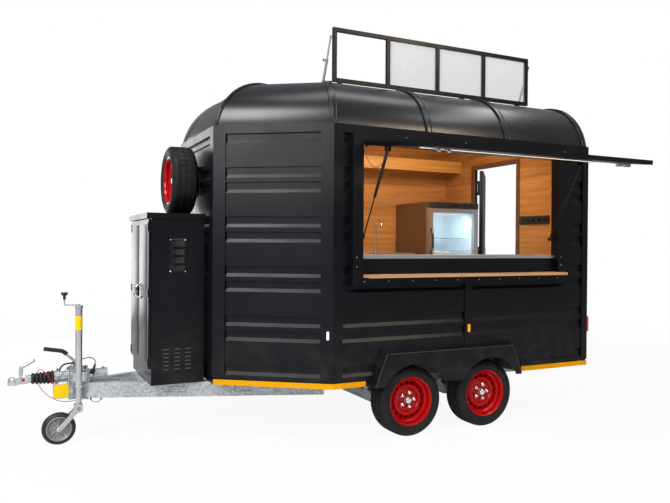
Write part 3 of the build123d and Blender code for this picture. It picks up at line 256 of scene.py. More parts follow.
# %% [markdown]
# ## Wood
# The inside is lined with wood-grain laminate in a warm walnut, laid as wide boards; the shelf outside is
# pale beech. Grain is noise stretched a long way in one direction, with finer streaks over it. Each board
# gets its own tone from a white-noise value on its number, and a thin dark line where two boards meet.

# %% Wood materials
ONE_BOARD = 4.0                # boards higher than the piece, so that no joint shows


def board_colour(s, along, dark, light, board=0.19):
    """Colour and height of boards that run level, stacked in Z."""
    row = s.node("ShaderNodeMath", {"operation": "FLOOR"}, {0: s.axis("Z") / board})
    tone = s.node("ShaderNodeTexWhiteNoise", {"noise_dimensions": "1D"}, {"W": row}, output="Value")
    stretch = (0.5, 7.0, 9.0) if along == "X" else (7.0, 0.5, 9.0)
    slow = s.noise(2.4, 6.0, stretch, 0.62)
    fine = s.noise(26.0, 4.0, stretch, 0.7)
    grain = s.span(slow * 0.72 + fine * 0.28 + (tone - 0.5) * 0.22, 0.3, 0.72)
    seam = s.node("ShaderNodeMath", {"operation": "FRACT"}, {0: s.axis("Z") / board}) < 0.012
    return s.mix(seam * 0.55, s.mix(grain, dark, light), tinted(dark, 0.3)), fine - seam


def wood(name, dark, light, roughness=0.42, along="X", board=0.19):
    s = Shader(name)
    colour, height = board_colour(s, along, dark, light, board)
    return s.finish(Base_Color=colour, Roughness=roughness, Normal=s.bump(height, 0.12, 0.0006))


WALNUT = (0.23, 0.085, 0.022), (0.60, 0.28, 0.085)
beech = wood("beech", (0.46, 0.235, 0.11), (0.66, 0.39, 0.21), 0.38, board=ONE_BOARD)
# The overhead box's walnut is painted lighter than the lining: painted light for the bright light falling on the
# box.
painted_light_walnut = wood("painted_light_walnut", (0.36, 0.15, 0.030), (0.80, 0.40, 0.095))
floor_board = wood("floor_board", (0.035, 0.02, 0.012), (0.085, 0.05, 0.028), 0.5, board=ONE_BOARD)
door_trim = wood("door_trim_wood", (0.075, 0.028, 0.011), (0.16, 0.062, 0.024), 0.36, "Y", ONE_BOARD)
print("woods made")

# %% [markdown]
# ## Painted outside, boarded inside
# A wall panel is one solid with two faces: painted sheet outside, laminate inside. Instead of gluing a second
# sheet on, one material looks at where a point lies. Behind the inner plane it shows boards, in front of it
# paint. The plane is given by its direction and distance, so the same recipe serves all six walls, and for
# the roof the direction of the surface itself tells the ceiling from the top.

# %% Lined panels
NOSE_X, NOSE_HALF, REAR_X = -0.715, 0.512, 2.42
LINING_DEPTH = 0.030           # from a wall's outer face to where its boards begin


def lined(name, within_of, along, colour=BLACK, roughness=0.34, coat=0.0):
    """Boards where within_of says that a point lies inside, paint elsewhere."""
    s = Shader(name)
    outside, rough = coat_of(s, colour, roughness)
    within = within_of(s)
    boards, height = board_colour(s, along, *WALNUT)
    ripple = s.noise(420.0, 2.0)
    normal = s.bump(within * height + (1 - within) * ripple, 0.12, 0.0006)
    return s.finish(Base_Color=s.mix(within, outside, boards), Roughness=rough, Coat_Weight=coat,
                    Coat_Roughness=0.22, Specular_IOR_Level=0.2, Normal=normal)


def behind_wall(first, second):
    """Test for the inner side of a wall, from two of its corners in plan."""
    (x0, y0), (x1, y1) = first, second
    run = hypot(x1 - x0, y1 - y0)
    direction = ((y1 - y0) / run, -(x1 - x0) / run)
    point = at(x0, y0, 0.0)
    distance = point.x * direction[0] + point.y * direction[1] - LINING_DEPTH

    def within(s):
        parts = [s.axis(letter) * value for letter, value in zip("XY", direction) if abs(value) > 1e-6]
        return (parts[0] if len(parts) == 1 else parts[0] + parts[1]) < distance
    return within


def ceiling(s):
    """Test for the faces of the roof that look down."""
    normal = s.node("ShaderNodeNewGeometry", output="Normal")
    return s.node("ShaderNodeSeparateXYZ", {}, {0: normal}, output="Z") < -0.02


plan = [(0.0, -HALF_WIDTH), (REAR_X, -HALF_WIDTH), (REAR_X, HALF_WIDTH), (0.0, HALF_WIDTH), (NOSE_X, NOSE_HALF),
        (NOSE_X, -NOSE_HALF)]
wall_names = ("serving_wall", "rear_wall", "far_wall", "slanted_wall_far", "front_wall", "slanted_wall_near")
finishes = {}
for wall_name, first, second in zip(wall_names, plan, plan[1:] + plan[:1]):
    along = "X" if wall_name in ("serving_wall", "far_wall") else "Y"
    finishes[wall_name] = lined(wall_name + "_finish", behind_wall(first, second), along)
finishes["roof"] = lined("roof_finish", ceiling, "X", (0.0058, 0.0062, 0.0082), 0.30, 0.3)
print("lined panels:", len(finishes))

# %% [markdown]
# ## Bare metals
# The drawbar and axles are hot-dip galvanised: zinc freezes in flat crystals a centimetre or two across, each
# with its own brightness. A Voronoi pattern gives the crystals. The housing and the jockey wheel are bright
# zinc plate, smoother and bluer, and the kitchen tops are brushed stainless steel with its hairlines all in
# one direction.

# %% Metal materials
LEVEL_LINES, UPRIGHT_LINES = (1, 40, 40), (40, 40, 1)


def galvanised_steel(name, base, spread, roughness):
    """Zinc crystals of differing brightness, streaked and dulled by weather."""
    s = Shader(name)
    bright = s.cells(75.0) * 0.6 + s.cells(210.0) * 0.25 + s.noise(5.0, 6.0) * 0.35
    colour = s.mix(s.span(bright, 0.25, 0.95), tinted(base, 1 - spread), tinted(base, 1 + spread))
    rough = s.span(bright, 0.2, 0.95, roughness + 0.14, roughness - 0.08)
    return s.finish(Base_Color=colour, Metallic=0.55, Roughness=rough,
                    Normal=s.bump(s.noise(60.0, 3.0), 0.16, 0.0008))


def plated(name, colour, roughness, metallic=0.95):
    """Bright plating with fine scuffs and fingerprints."""
    s = Shader(name)
    scuff = s.noise(38.0, 6.0, (1, 1, 0.25), 0.7)
    shade = s.mix(s.span(s.noise(7.0, 4.0), 0.3, 0.7), tinted(colour, 0.86), colour)
    rough = s.span(scuff, 0.3, 0.75, roughness - 0.05, roughness + 0.12)
    return s.finish(Base_Color=shade, Metallic=metallic, Roughness=rough, Normal=s.bump(scuff, 0.05, 0.0004))


def brushed(name, colour, roughness, stretch=LEVEL_LINES):
    """Stainless sheet with hairlines running one way."""
    s = Shader(name)
    lines = s.noise(30.0, 4.0, stretch, 0.8)
    shade = s.mix(s.span(lines, 0.3, 0.7), tinted(colour, 0.82), colour)
    rough = s.span(lines, 0.3, 0.7, roughness - 0.06, roughness + 0.08)
    return s.finish(Base_Color=shade, Metallic=0.9, Roughness=rough, Normal=s.bump(lines, 0.06, 0.0003))


galvanised = galvanised_steel("galvanised", (0.46, 0.49, 0.515), 0.28, 0.42)
zinc = plated("zinc_plate", (0.60, 0.62, 0.64), 0.30, 0.75)
chrome = plated("chrome", (0.82, 0.83, 0.85), 0.12)
stainless = brushed("stainless", (0.66, 0.655, 0.64), 0.30)
stainless_upright = brushed("stainless_upright", (0.60, 0.58, 0.56), 0.34, UPRIGHT_LINES)
worn_steel = plated("worn_steel", (0.42, 0.37, 0.31), 0.45, 0.7)
cast_metal = plated("cast_metal", (0.30, 0.29, 0.28), 0.42, 0.6)
print("metals made")

# %% [markdown]
# ## Rubber, plastic, glass and lamps
# Rubber is nearly black, rough, and greyer where it has been rubbed. Moulded plastic has a fine even grain.
# The lamps are clear acrylic tinted red or amber with ribs behind the surface, and glass is left almost
# clear.

# %% Soft and clear materials
def rubber(name, colour, roughness, grain=170.0, sheen=0.4):
    s = Shader(name)
    wear_marks = s.noise(11.0, 6.0)
    shade = s.mix(s.span(wear_marks, 0.4, 0.75), colour, tinted(colour, 1.9))
    rough = s.span(wear_marks, 0.3, 0.7, roughness + 0.06, roughness - 0.07)
    return s.finish(Base_Color=shade, Roughness=rough, Specular_IOR_Level=sheen,
                    Normal=s.bump(s.noise(grain, 3.0), 0.16, 0.0006))


def lens(name, colour, glow=0.0):
    """Tinted lamp cover: moulded ribs under a polished face."""
    s = Shader(name)
    ribs = s.wave("Z", 34.0)
    shade = s.mix(ribs * 0.5, colour, [min(1.0, c * 1.5) for c in colour])
    return s.finish(Base_Color=shade, Roughness=0.14, Coat_Weight=0.5, Emission_Color=colour,
                    Emission_Strength=glow, Normal=s.bump(ribs, 0.15, 0.001))


def lamp_material(name, colour, strength):
    """Diffusing strip that glows evenly, a little darker between its diodes."""
    s = Shader(name)
    glow = s.mix(s.span(s.wave("X", 9.0), 0.0, 1.0, 0.0, 0.25), colour, (1.0, 0.98, 0.94))
    return s.finish(Base_Color=(0.8, 0.75, 0.68), Roughness=0.4, Emission_Color=glow, Emission_Strength=strength)


def see_through(name, colour, roughness, scale, detail, clearest, cloudiest):
    """Clear or frosted sheet: a film of dust or haze makes it cloudier in places."""
    s = Shader(name)
    alpha = s.span(s.noise(scale, detail), 0.3, 0.7, clearest, cloudiest)
    return s.finish(Base_Color=colour, Roughness=roughness, Alpha=alpha)


tyre_rubber = rubber("tyre_rubber", (0.0095, 0.0095, 0.0098), 0.58, sheen=0.25)
black_rubber = rubber("black_rubber", (0.011, 0.011, 0.012), 0.5)
lead_sheath = rubber("lead_sheath", (0.028, 0.029, 0.031), 0.42, 300.0)
grey_sheath = rubber("grey_sheath", (0.085, 0.088, 0.09), 0.4, 300.0)
red_sheath = rubber("red_sheath", (0.46, 0.012, 0.018), 0.36, 300.0)
black_plastic = rubber("black_plastic", (0.014, 0.014, 0.015), 0.36, 520.0)
white_plastic = rubber("white_plastic", (0.72, 0.73, 0.74), 0.34, 520.0)
red_lens = lens("red_lens", (0.55, 0.012, 0.012), 0.2)
amber_lens = lens("amber_lens", (0.95, 0.30, 0.01), 0.5)
clear_lens = lens("clear_lens", (0.82, 0.84, 0.86), 0.25)
warm_strip = lamp_material("warm_strip", (1.0, 0.82, 0.62), 0.75)
cold_strip = lamp_material("cold_strip", (0.72, 0.90, 1.0), 0.55)
glass = see_through("pane_glass", (0.85, 0.93, 0.97), 0.04, 6.0, 4.0, 0.10, 0.16)
opal_sheet = see_through("opal_sheet", (0.60, 0.62, 0.68), 0.5, 3.0, 3.0, 0.33, 0.36)


def fridge_finish():
    """Dark brushed steel outside, and a pale liner inside with a painted glow, brighter towards the top."""
    s = Shader("fridge_shell")
    lines = s.noise(30.0, 4.0, UPRIGHT_LINES, 0.8)
    lowest, highest = at(1.755, 0.395, 0.53), at(2.310, 0.955, 1.800)
    x, y, z = s.axis("X"), s.axis("Y"), s.axis("Z")
    within = (x > lowest.x) * (x < highest.x) * (y > lowest.y) * (y < highest.y)
    within = within * (z > lowest.z) * (z < highest.z)
    steel = s.mix(s.span(lines, 0.3, 0.7), (0.20, 0.165, 0.14), (0.27, 0.225, 0.19))
    # Painted light: the liner glows, brighter towards the top, in place of the fridge lamps' light falling on it.
    liner_painted_glow = s.mix(s.span(z, 1.2, 1.75), (0.015, 0.026, 0.034), (0.045, 0.072, 0.085))
    glow = s.mix(within, (0, 0, 0), liner_painted_glow)
    return s.finish(Base_Color=s.mix(within, steel, (0.62, 0.76, 0.84)), Metallic=(1 - within) * 0.85,
                    Roughness=s.span(lines, 0.3, 0.7, 0.24, 0.36), Emission_Color=glow, Emission_Strength=1.0)


def bench_finish():
    """Walnut fronts under a stainless worktop."""
    s = Shader("bench")
    boards, height = board_colour(s, "X", *WALNUT)
    top = s.axis("Z") > 1.331
    lines = s.noise(30.0, 4.0, LEVEL_LINES, 0.8)
    steel = s.mix(s.span(lines, 0.3, 0.7), (0.52, 0.51, 0.49), (0.66, 0.655, 0.64))
    return s.finish(Base_Color=s.mix(top, boards, steel), Metallic=top * 0.9,
                    Roughness=s.mix(top, (0.42, 0.42, 0.42), (0.32, 0.32, 0.32)),
                    Normal=s.bump(height, 0.1, 0.0005))


print("soft and clear materials made")

# %% [markdown]
# ## Finishes for the frame's own pieces
# One list says which pieces of the frame wear each finish. Every piece is named, so a new piece without a
# finish is noticed at once.

# %% Assign finishes
WORN_BY = (
    (galvanised, "drawbar front_axle rear_axle"), (floor_board, "floor"), (stripe_paint, "edge_stripe"),
    (trim_paint, "body_frame window_frame hatch_flap gas_cabinet cabinet_door_near cabinet_door_far fenders"),
    (stainless, "serving_counter sink_basin"), (beech, "shelf_board"), (body_paint, "rear_door"),
    (black_enamel, "strut_barrels strut_rods sign_frame sign_feet spare_carrier"),
    (zinc, "sign_prop_tubes overrun_housing coupling_head handbrake_lever jockey_tube jockey_fork"),
    (chrome, "sign_prop_rods sink_tap"), (black_rubber, "bellows jockey_wheel marker_lamps"),
    (red_lens, "tail_lamps"), (bench_finish(), "back_bench"), (fridge_finish(), "fridge_body"),
    (stainless_upright, "fridge_door"), (glass, "fridge_glass"), (painted_light_walnut, "overhead_box"),
    (tyre_rubber, "spare_tyre"), (red_enamel, "spare_rim"), (red_sheath, "breakaway_cable"),
    (grey_sheath, "plug_lead brake_lead"), (lead_sheath, "strip_light_lead"), (black_plastic, "trailer_plug"),
)
for finish, nodes in WORN_BY:
    for node_name in nodes.split():
        finishes[node_name] = finish
for wheel_name in WHEEL_NAMES:
    finishes["tyre_" + wheel_name] = tyre_rubber
    finishes["rim_" + wheel_name] = red_enamel


def wear(piece, material):
    """Gives a piece one material."""
    piece.data.materials.clear()
    piece.data.materials.append(material)


for node_name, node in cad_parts.items():
    wear(node, finishes[node_name])
print("finished", len(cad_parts), "pieces of the frame")

# %% [markdown]
# ## Floor, backdrop and light
# The trailer stands in a white studio. The floor shows white to the camera but still takes the trailer's
# shadow: it is part plain paint and part glow, and the glow is seen only by the camera and by mirror-like
# surfaces. The world around does the same job for the background, and lights the object with a plain grey.

# %% Studio
GLOSSY_SHARE = 0.13            # how much of the white shows in gloss


def white_seen(s):
    """One for rays from the camera or through glass, a small share for reflections, nothing for light."""
    path = s.tree.nodes.new("ShaderNodeLightPath")
    kinds = ("Is Camera Ray", "Is Transmission Ray", "Is Glossy Ray")
    direct, through, glossy = (Value(s, path.outputs[kind]) for kind in kinds)
    largest = s.node("ShaderNodeMath", {"operation": "MAXIMUM"}, {0: direct, 1: through})
    return s.node("ShaderNodeMath", {"operation": "MAXIMUM"}, {0: largest, 1: glossy * GLOSSY_SHARE})


def studio_white(name, share):
    """Matt floor paint, with a share of plain white glow that grows to the whole far away."""
    s = Shader(name)
    away = s.node("ShaderNodeVectorMath", {"operation": "LENGTH"}, {0: s.coords()}, output="Value")
    factor = white_seen(s) * s.span(away, 3.0, 9.0, share, 1.0)
    glow = s.node("ShaderNodeEmission", {}, {"Color": (1, 1, 1), "Strength": 1.0})
    s.finish(Base_Color=(0.78, 0.78, 0.78), Roughness=0.9, Specular_IOR_Level=0.1)
    paint_side = Value(s, s.tree.nodes["Principled BSDF"].outputs[0])
    joined = s.node("ShaderNodeMixShader", {}, {0: factor, 1: paint_side, 2: glow})
    s.fill(s.tree.nodes["Material Output"], {"Surface": joined})
    return s.material


def object_mode():
    if bpy.context.mode != "OBJECT":
        bpy.ops.object.mode_set(mode="OBJECT")


def clear_selection():
    """Nothing selected, object mode, so that the next operator acts only on its own piece."""
    object_mode()
    bpy.ops.object.select_all(action="DESELECT")


clear_selection()
bpy.ops.mesh.primitive_grid_add(x_subdivisions=24, y_subdivisions=24, size=60, location=(0, 0, 0))
studio_floor = bpy.context.object
studio_floor.name = "studio_floor"
wear(studio_floor, studio_white("studio_floor_white", 0.93))

world = bpy.data.worlds.new("studio_world")
bpy.context.scene.world = world
sky = Shader("studio_world", world)
soft_grey = sky.tree.nodes["Background"]
sky.fill(soft_grey, {"Color": (0.86, 0.90, 1.0), "Strength": 0.25})
plain_white = sky.node("ShaderNodeBackground", {}, {"Color": (1, 1, 1), "Strength": 1.0})
sides = {0: white_seen(sky), 1: Value(sky, soft_grey.outputs[0]), 2: plain_white}
sky.fill(sky.tree.nodes["World Output"], {"Surface": sky.node("ShaderNodeMixShader", {}, sides)})


def area_lamp(name, place, target, width, height, power, colour=(1, 1, 1)):
    """Soft box that faces a target, both measured from the body's corner."""
    data = bpy.data.lights.new(name, "AREA")
    data.shape = "RECTANGLE"
    data.size, data.size_y = width, height
    data.energy = power
    data.color = colour
    lamp = bpy.data.objects.new(name, data)
    lamp.location = at(*place)
    lamp.rotation_euler = (at(*target) - at(*place)).to_track_quat("-Z", "Y").to_euler()
    bpy.context.scene.collection.objects.link(lamp)


area_lamp("key_box", (-4.7, -3.9, 3.7), (-0.4, -0.6, 1.5), 2.4, 2.2, 190)
area_lamp("fill_box", (1.4, -6.2, 5.2), (1.0, -1.0, 1.3), 3.6, 1.6, 70)
area_lamp("high_box", (-4.25, -2.42, 7.4), (-0.35, -0.77, 1.6), 2.0, 2.2, 300)
area_lamp("warm_box", (3.2, -4.3, 4.6), (0.5, -1.03, 0.8), 1.3, 0.5, 66, (1.0, 0.79, 0.54))
area_lamp("roof_strip", (4.3, -1.5, 6.4), (1.2, -1.0, 2.4), 4.2, 0.6, 60)
area_lamp("top_box", (1.0, -0.4, 6.4), (1.0, 0.0, 1.0), 4.6, 1.0, 60)
area_lamp("back_box", (-2.2, 5.0, 1.9), (-1.1, 0.0, 1.2), 2.2, 3.2, 75)
area_lamp("cabin_light", (1.0, -0.35, 2.56), (1.0, 0.3, 1.2), 1.9, 0.5, 32, (1.0, 0.83, 0.62))
area_lamp("hatch_light", (1.0, -0.98, 2.06), (1.0, 0.4, 1.70), 1.7, 0.10, 11, (1.0, 0.80, 0.56))
area_lamp("shelf_light", (1.12, -1.745, 2.02), (1.12, -1.50, 0.9), 1.7, 0.03, 5, (1.0, 0.82, 0.60))
print("studio ready")

# %% [markdown]
# ## Tools for small fittings
# Most fittings are one of four kinds. A turned part, such as a knob or a bolt, is half an outline drawn by
# extruding a corner and spun round. A block is a cube with its edges bevelled. A plate is an outline filled
# and extruded. A bent bar is a curve given a thickness and turned into a mesh. Each helper leaves its piece
# with its place in the mesh, its finish, and the body that it rides on. Places are triples measured from the
# body's corner; a Vector is a place in the scene already.

# %% Modelling helpers
SMOOTH = 35.0                  # degrees between faces, below which their edge is shaded soft
rides = {}
UP, FRONTWARD, REARWARD, NEARWARD = (0, 0, 1), (-1, 0, 0), (1, 0, 0), (0, -1, 0)


def in_scene(place):
    return place if isinstance(place, Vector) else at(*place)


def dress(piece, material, body):
    """Finish and body of a piece."""
    wear(piece, material)
    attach(piece, body)


def settle(name, material, body="trailer", smooth=SMOOTH):
    """Ends a piece: object mode, place into the mesh, soft shading by angle, finish and body."""
    object_mode()
    piece = bpy.context.object
    piece.name = name
    piece.data.name = name
    rides[name] = body
    bpy.ops.object.transform_apply(location=True, rotation=True, scale=True)
    bpy.ops.object.shade_smooth_by_angle(angle=radians(smooth))
    dress(piece, material, body)
    return piece


def draw(points):
    """Draws a line from point to point by extruding one corner; leaves edit mode on."""
    clear_selection()
    bpy.ops.mesh.primitive_circle_add(vertices=3, radius=0.001, location=(0, 0, 0))
    bpy.ops.object.mode_set(mode="EDIT")
    bpy.ops.mesh.select_mode(type="VERT")
    bpy.ops.mesh.select_all(action="SELECT")
    bpy.ops.mesh.merge(type="CENTER")
    bpy.ops.transform.translate(value=Vector(points[0]))
    for first, second in zip(points, points[1:]):
        pull(Vector(second) - Vector(first), bpy.ops.mesh.extrude_vertices_move)
    bpy.ops.mesh.select_all(action="SELECT")


def pull(step, operator=bpy.ops.mesh.extrude_region_move):
    """Extrudes what is selected by a step."""
    operator(TRANSFORM_OT_translate={"value": step})


def tidy_mesh():
    bpy.ops.mesh.select_all(action="SELECT")
    bpy.ops.mesh.remove_doubles(threshold=0.00001)
    bpy.ops.mesh.normals_make_consistent(inside=False)


def facing(place, direction):
    """Matrix that takes a piece drawn about its own Z to a place, with Z along a direction."""
    return Matrix.Translation(place) @ Vector(direction).to_track_quat("Z", "Y").to_matrix().to_4x4()


def spun(profile, steps=24):
    """Spins a half outline of (radius, height) about Z; leaves edit mode on."""
    draw([(radius, 0, height) for radius, height in profile])
    bpy.ops.mesh.spin(steps=steps, angle=2 * pi, center=(0, 0, 0), axis=(0, 0, 1))
    tidy_mesh()


def aimed(name, place, direction, material, body="trailer", smooth=SMOOTH):
    """Settles the piece just drawn at a place, with its Z along a direction."""
    object_mode()
    bpy.context.object.matrix_world = facing(in_scene(place), direction)
    return settle(name, material, body, smooth)


def lathe(name, profile, place, direction, material, steps=24, smooth=SMOOTH, body="trailer"):
    """Turned part: a half outline of (radius, height) spun about the direction."""
    spun(profile, steps)
    return aimed(name, place, direction, material, body, smooth)


def block(name, x, y, z, material, bevel=0.0015, segments=2, body="trailer", where=at):
    """Box with its edges rounded, between two places in each of X, Y and Z."""
    lowest, highest = where(min(x), min(y), min(z)), where(max(x), max(y), max(z))
    clear_selection()
    bpy.ops.mesh.primitive_cube_add(size=1, location=(lowest + highest) / 2, scale=highest - lowest)
    bpy.ops.object.transform_apply(location=True, rotation=True, scale=True)
    bpy.ops.object.mode_set(mode="EDIT")
    bpy.ops.mesh.bevel(offset=bevel, segments=segments, affect="EDGES")
    return settle(name, material, body)


def plate(name, outline, thickness, material, bevel=0.0008, segments=1, smooth=SMOOTH):
    """Flat outline filled, pulled out by a vector and bevelled."""
    draw([in_scene(place) for place in outline])
    bpy.ops.mesh.edge_face_add()
    pull(Vector(thickness))
    tidy_mesh()
    bpy.ops.mesh.bevel(offset=bevel, segments=segments, affect="EDGES")
    return settle(name, material, smooth=smooth)


def spline_piece(name, points, radius, order, around, resolution):
    """Round bar as a curve along a smooth path."""
    clear_selection()
    data = bpy.data.curves.new(name, "CURVE")
    data.dimensions = "3D"
    data.bevel_depth = radius
    data.bevel_resolution = around
    data.use_fill_caps = True
    data.resolution_u = resolution
    spline = data.splines.new("NURBS")
    spline.points.add(len(points) - 1)
    for point, place in zip(spline.points, points):
        point.co = (*in_scene(place), 1.0)
    spline.order_u = order
    spline.use_endpoint_u = True
    piece = bpy.data.objects.new(name, data)
    bpy.context.scene.collection.objects.link(piece)
    return piece


def activate(piece):
    piece.select_set(True)
    bpy.context.view_layer.objects.active = piece


def bent_bar(name, points, radius, material, order=3, around=4, body="trailer"):
    """Round bar or fixed hose along a smooth path; order 2 makes it straight from point to point."""
    activate(spline_piece(name, points, radius, order, around, 10))
    bpy.ops.object.convert(target="MESH")
    bpy.ops.object.mode_set(mode="EDIT")
    tidy_mesh()
    return settle(name, material, body)


def copy_of(piece):
    copy = piece.copy()
    copy.data = piece.data.copy()
    bpy.context.scene.collection.objects.link(copy)
    return copy


def repeated(first, shifts):
    """Copies of a modelled piece, each with its own mesh, joined into one with the first."""
    clear_selection()
    for shift in shifts:
        copy = copy_of(first)
        copy.data.transform(shift if isinstance(shift, Matrix) else Matrix.Translation(shift))
        copy.select_set(True)
    activate(first)
    bpy.ops.object.join()
    return settle(first.name, first.data.materials[0], rides[first.name])


def turned(piece, turn):
    """Turns the piece just made by a matrix and settles it again."""
    piece.matrix_world = turn
    return settle(piece.name, piece.data.materials[0], rides[piece.name])


def about(pivot, angle, axis="Z"):
    """Matrix that turns about an axis through a pivot."""
    return Matrix.Translation(pivot) @ Matrix.Rotation(angle, 4, axis) @ Matrix.Translation(-pivot)


def pick_faces(test):
    """Selects the faces whose middle and normal pass the test."""
    bpy.ops.object.mode_set(mode="OBJECT")
    mesh = bpy.context.object.data
    for part in (mesh.vertices, mesh.edges):
        for item in part:
            item.select = False
    for face in mesh.polygons:
        face.select = bool(test(face.center, face.normal))
    count = sum(face.select for face in mesh.polygons)
    bpy.ops.object.mode_set(mode="EDIT")
    bpy.ops.mesh.select_mode(type="FACE")
    return count


def sector(place, count, part):
    """True where the place's angle about Z falls in the first part of one of count equal sectors."""
    turns = (atan2(place.y, place.x) / (2 * pi)) % 1.0
    return (turns * count) % 1.0 < part


def dome(radius, height):
    """Half outline of a low dome with a flat foot."""
    rows = [(radius * cos(a), height * sin(a)) for a in (0, 0.35, 0.75, 1.15)]
    return [(0, -height * 0.5), (radius, -height * 0.5), *rows, (0, height)]


def bolts(name, radius, height, place, direction, shifts=(), material=None, body="trailer"):
    """Bolt ends: a washer and a head with a chamfer, at a place and again at each shift from it."""
    profile = [(0, 0), (radius * 1.55, 0), (radius * 1.55, height * 0.22), (radius, height * 0.24),
               (radius, height * 0.82), (radius * 0.8, height), (0, height)]
    first = lathe(name, profile, place, direction, material or zinc, 12, 30, body)
    return repeated(first, shifts) if shifts else first


print("modelling helpers ready")

# %% [markdown]
# ## Leads at the hitch
# Four leads hang at the front. The red breakaway cable runs from its lug under the cheek plate, round the
# bellows and up to a clip by the notice plate: if the coupling lets go, it pulls the brake on. The plug lead
# loops from the parked plug over the housing and down to a lug. A short brake lead hangs under the drawbar,
# and a thin lead feeds the light strip on the hatch. Each is a smooth spline whose control points are the
# lead's own route.

# %% Lead helper
def lead(name, stands_for, points, diameter, material, body="trailer"):
    """A free lead on a smooth spline, in place of the frame's plain one."""
    piece = spline_piece(name, points, diameter / 2, 3, 4, 12)
    dress(piece, material, body)
    tuple(in_scene(points[0]))
    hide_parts(stands_for)


# %% Leads
BREAKAWAY = [
    (-1.534, -0.064, 0.296), (-1.562, -0.064, 0.296), (-1.606, -0.058, 0.288), (-1.662, -0.042, 0.281),
    (-1.716, -0.026, 0.285), (-1.762, -0.012, 0.306), (-1.800, -0.003, 0.336), (-1.832, 0.005, 0.370),
    (-1.852, 0.018, 0.405), (-1.862, 0.045, 0.432), (-1.863, 0.057, 0.472), (-1.856, 0.038, 0.512),
    (-1.840, 0.0, 0.524), (-1.818, -0.036, 0.509), (-1.796, -0.058, 0.480), (-1.774, -0.069, 0.452),
    (-1.757, -0.078, 0.430), (-1.757, -0.078, 0.402)]
PLUG_LEAD = [
    (-1.742, -0.080, 0.402), (-1.742, -0.080, 0.437), (-1.705, -0.082, 0.488), (-1.673, -0.078, 0.526),
    (-1.635, -0.069, 0.556), (-1.593, -0.062, 0.578), (-1.547, -0.060, 0.594), (-1.499, -0.060, 0.597),
    (-1.468, -0.062, 0.56396), (-1.484, -0.062, 0.520)]
BRAKE_LEAD = [
    (-1.506, -0.066, 0.305), (-1.506, -0.066, 0.284), (-1.488, -0.072, 0.268), (-1.456, -0.082, 0.268),
    (-1.436, -0.090, 0.284), (-1.436, -0.090, 0.305)]
STRIP_LEAD = [
    (-0.020, -0.024), (-0.020, -0.060), (-0.044, -0.106), (-0.090, -0.144), (-0.148, -0.164), (-0.214, -0.160),
    (-0.272, -0.132), (-0.308, -0.086), (-0.318, -0.050), (-0.318, -0.024)]
FLAP_HINGE_Y, FLAP_HINGE_Z, FLAP_DROOP = -1.066, 2.157, radians(8.0)


def on_flap(x, out, up):
    """A place on the open flap: out from its hinge and up from its middle plane, before it droops."""
    y = FLAP_HINGE_Y + out * cos(FLAP_DROOP) - up * sin(FLAP_DROOP)
    return at(x, y, FLAP_HINGE_Z + out * sin(FLAP_DROOP) + up * cos(FLAP_DROOP))


lead("breakaway_lead", "breakaway_cable", BREAKAWAY, 0.005, red_sheath)
lead("plug_cable", "plug_lead", PLUG_LEAD, 0.007, grey_sheath)
lead("brake_cable", "brake_lead", BRAKE_LEAD, 0.005, grey_sheath)
lead("strip_cable", "strip_light_lead", [on_flap(0.228, out, up) for out, up in STRIP_LEAD], 0.0045,
     lead_sheath, body="hatch")
boot_line = [(0.0030, 0), (0.0075, 0), (0.0070, 0.006), (0.0074, 0.008), (0.0058, 0.015), (0.0040, 0.022),
             (0.0028, 0.022)]
BOOTS = (("plug_lead_boot", (-1.742, -0.080, 0.401), 1), ("breakaway_boot", (-1.757, -0.078, 0.401), 1),
         ("brake_boot_front", (-1.506, -0.066, 0.306), -1), ("brake_boot_rear", (-1.436, -0.090, 0.306), -1))
for name, place, way in BOOTS:
    lathe(name, boot_line, place, (0, 0, way), black_rubber, 16)
print("leads made: 4")

# %% [markdown]
# ## Coupling and overrun housing
# The housing is a zinc-plated tube with a domed grease fitting and a red cap on top, bolt ends along its
# sides and two dark cross bolts through the drawbar. The coupling's release handle has a round grip welded
# over the lever blade, and a red wear mark shows on the side of the head.

# %% Housing fittings
HOUSING_Z, HEAD_Z = 0.46, 0.459
red_cap = [(0, -0.004), (0.0085, -0.004), (0.0085, 0.006), (0.005, 0.008), (0.0035, 0.016), (0, 0.018)]
lathe("housing_cap", red_cap, (-1.730, 0, 0.508), UP, red_enamel, 16)
lathe("cheek_cap", red_cap, (-1.545, -0.064, 0.520), UP, red_enamel, 16)
bolts("housing_bolts", 0.0075, 0.010, (-1.470, -0.0415, HOUSING_Z), NEARWARD, [(0.055, 0, 0)])
bolts("housing_top_bolts", 0.008, 0.012, (-1.478, 0, 0.5015), UP, [(0.062, 0, 0)])
lathe("housing_collar", [(0.043, 0), (0.0462, 0), (0.0462, 0.016), (0.043, 0.016)], (-1.402, 0, HOUSING_Z),
      REARWARD, zinc, 40)
lathe("release_grip_end", dome(0.0130, 0.010), (-1.888, 0, 0.590), (0.872, 0, 0.490), zinc)
bolts("release_pin", 0.0075, 0.008, (-1.968, -0.0125, 0.545), NEARWARD)
bolts("head_bolt", 0.009, 0.010, (-1.980, -0.0335, HEAD_Z), NEARWARD)
lathe("wear_mark", [(0, 0), (0.0095, 0), (0.0095, 0.003), (0.0070, 0.004), (0, 0.0035)],
      (-1.955, -0.0345, HEAD_Z), NEARWARD, red_enamel, 20)
bent_bar("brake_hose", [(-1.7165, 0.012, 0.494), (-1.712, 0.010, 0.520), (-1.688, 0.008, 0.545),
                        (-1.650, 0.020, 0.550), (-1.612, 0.034, 0.548)], 0.0062, black_rubber)
print("housing fittings made")

# %% [markdown]
# ## Cheek plates, notice and plug
# Two plates clamp the housing and the jockey wheel; each has a rolled flange and a row of bolts. The notice
# plate beside them carries a plain yellow sheet with rounded corners, left blank. The parked plug gets a
# ribbed grip, and a boot where the lead enters.

